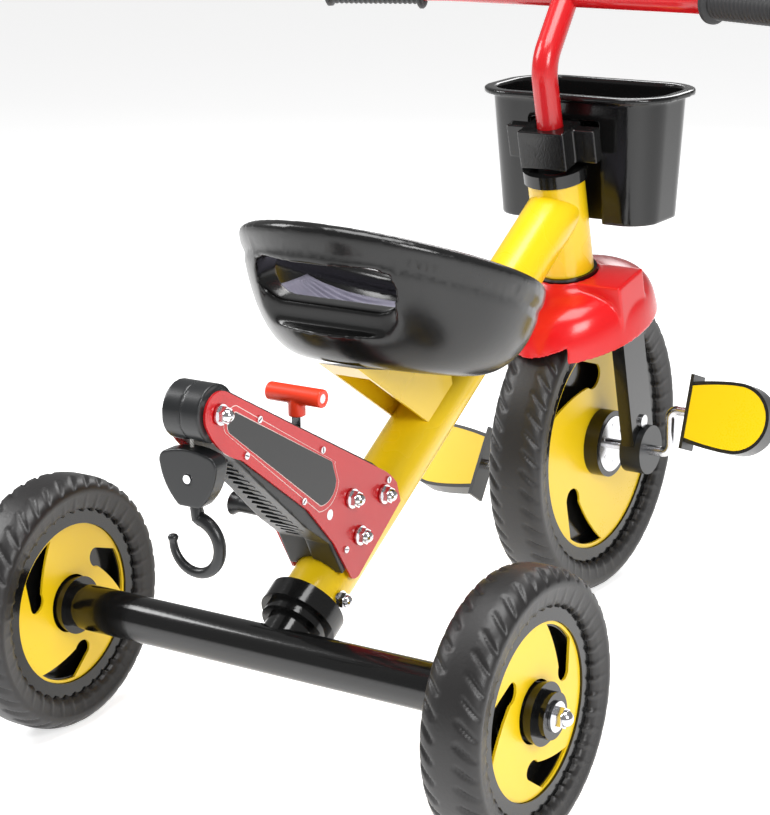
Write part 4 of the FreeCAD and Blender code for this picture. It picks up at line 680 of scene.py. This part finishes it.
BADGE_LAYERS = (("pale_outer", "badge_line", 0.0052, 0.00020), ("red_band", "red_paint", 0.0045, 0.00030),
                ("pale_inner", "badge_line", 0.0008, 0.00045))
for title, slot, grow, thick in BADGE_LAYERS:
    verts = []
    faces = []
    for side in (-1, 1):
        more, shape = badge_layer(side, grow, thick)
        faces += [tuple(index + len(verts) for index in face) for face in shape]
        verts += more
    mesh = bpy.data.meshes.new(title)
    mesh.from_pydata(verts, [], faces)
    finished(f"badge_{title}", outward(mesh), "frame", slot, smooth=False)

# Boom underside: a ladder of raised bars that grows wider towards the foot.
UNDERSIDE = ((0.0775, 0.052), (0.067, 0.076), (0.048, 0.143), (0.0385, 0.176))
bars = []
BAR_COUNT = 17
for step in range(BAR_COUNT):
    above = UNDERSIDE[0][1] + (UNDERSIDE[-1][1] - UNDERSIDE[0][1]) * step / (BAR_COUNT - 1)
    for (low_a, low_h), (high_a, high_h) in zip(UNDERSIDE, UNDERSIDE[1:]):
        if low_h <= above <= high_h + 1e-9:
            along = low_a + (high_a - low_a) * (above - low_h) / (high_h - low_h)
            lean = math.atan2(high_a - low_a, high_h - low_h)
    share = step / (BAR_COUNT - 1)
    bar_size = (1.45 - 0.60 * share, 1, 1.3 - 0.4 * share)
    bars.append((crane_point(along, above), (TUBE_SLOPE - lean, 0, 0), bar_size))
ladder_bar = small_block("ladder_bar", 0.018, 0.0030, 0.0030, 0.0005)
scattered("boom_ladder", ladder_bar, bars, "frame", "satin_moulding")

# Screw slots: a dark cross bar let into each small plate screw's head.
PLATE_SCREWS = ((0.0700, 0.1881), (0.1092, 0.1163), (0.0449, 0.1767), (0.0718, 0.1005), (0.1544, 0.0366),
                (0.0867, 0.0309))
SLOT_OUT = 0.00125
slots = []
for side in (-1, 1):
    for number, (along, above) in enumerate(PLATE_SCREWS):
        place = plate_face(crane_point(along, above), side, SLOT_OUT)
        slots.append((place, (0.5 + number * 1.1, 0, 0), (1, 1, 1)))
screw_slot = small_block("screw_slot", 0.0004, 0.0040, 0.0009, 0.0001)
scattered("screw_slots", screw_slot, slots, "frame", "black_moulding")

# Clutch pins: small round heads on the chrome hub plates.
work = bmesh.new()
bmesh.ops.create_cone(work, cap_ends=True, segments=20, radius1=0.0028, radius2=0.0022, depth=0.0012,
                      matrix=Matrix.Rotation(math.radians(90), 4, "Y"))
pin_mesh = bpy.data.meshes.new("clutch_pin")
work.to_mesh(pin_mesh)
work.free()
plates_low, plates_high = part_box("clutch_plates")
hub = (plates_low + plates_high) / 2
PIN_RING = 0.0172
PIN_COUNT = 6
pins = []
for face_x, turn in ((plates_high.x - 0.0004, 0), (plates_low.x + 0.0004, math.pi)):
    for number in range(PIN_COUNT):
        way = 2 * math.pi * (number + 0.5) / PIN_COUNT
        pins.append((Vector((face_x, hub.y + PIN_RING * math.cos(way), hub.z + PIN_RING * math.sin(way))),
                     (0, turn, 0), (1, 1, 1)))
scattered("clutch_pins", pin_mesh, pins, "front_wheel", "zinc_steel")

# Grips: soft sleeves with a flange, close ribs and a domed cap.
RIBS = 17
GRIP_SWEEP = math.radians(19)
for name, node, side in (("grip_sleeve_left", "grip_left", -1), ("grip_sleeve_right", "grip_right", 1)):
    way = Vector((side * math.cos(GRIP_SWEEP), -math.sin(GRIP_SWEEP), 0))
    points = [vertex.co for vertex in frame["nodes"][node].data.vertices]
    reach = [point.dot(way) for point in points]
    starts = [point for point, far in zip(points, reach) if far < min(reach) + 0.0001]
    start = sum(starts, Vector()) / len(starts)
    length = max(reach) - min(reach)
    profile = [(0.0, 0.0112), (0.0, 0.0168), (0.0012, 0.0179), (0.0036, 0.0179), (0.0048, 0.0165),
               (0.0056, 0.0140)]
    for rib in range(RIBS * 4):
        along = 0.0065 + (length - 0.0130) * rib / (RIBS * 4)
        profile.append((along, 0.0129 + 0.0013 * (0.5 - 0.5 * math.cos(2 * math.pi * rib / 4)) ** 0.7))
    profile += [(length - 0.0056, 0.0140), (length - 0.0048, 0.0160), (length - 0.0014, 0.0163),
                (length - 0.0002, 0.0145), (length, 0.0100), (length, 0.0004), (length - 0.004, 0.0004),
                (length - 0.004, 0.0112)]
    finished(name, turned(name, start, way, profile, 56), "steering", "soft_grip", [node])
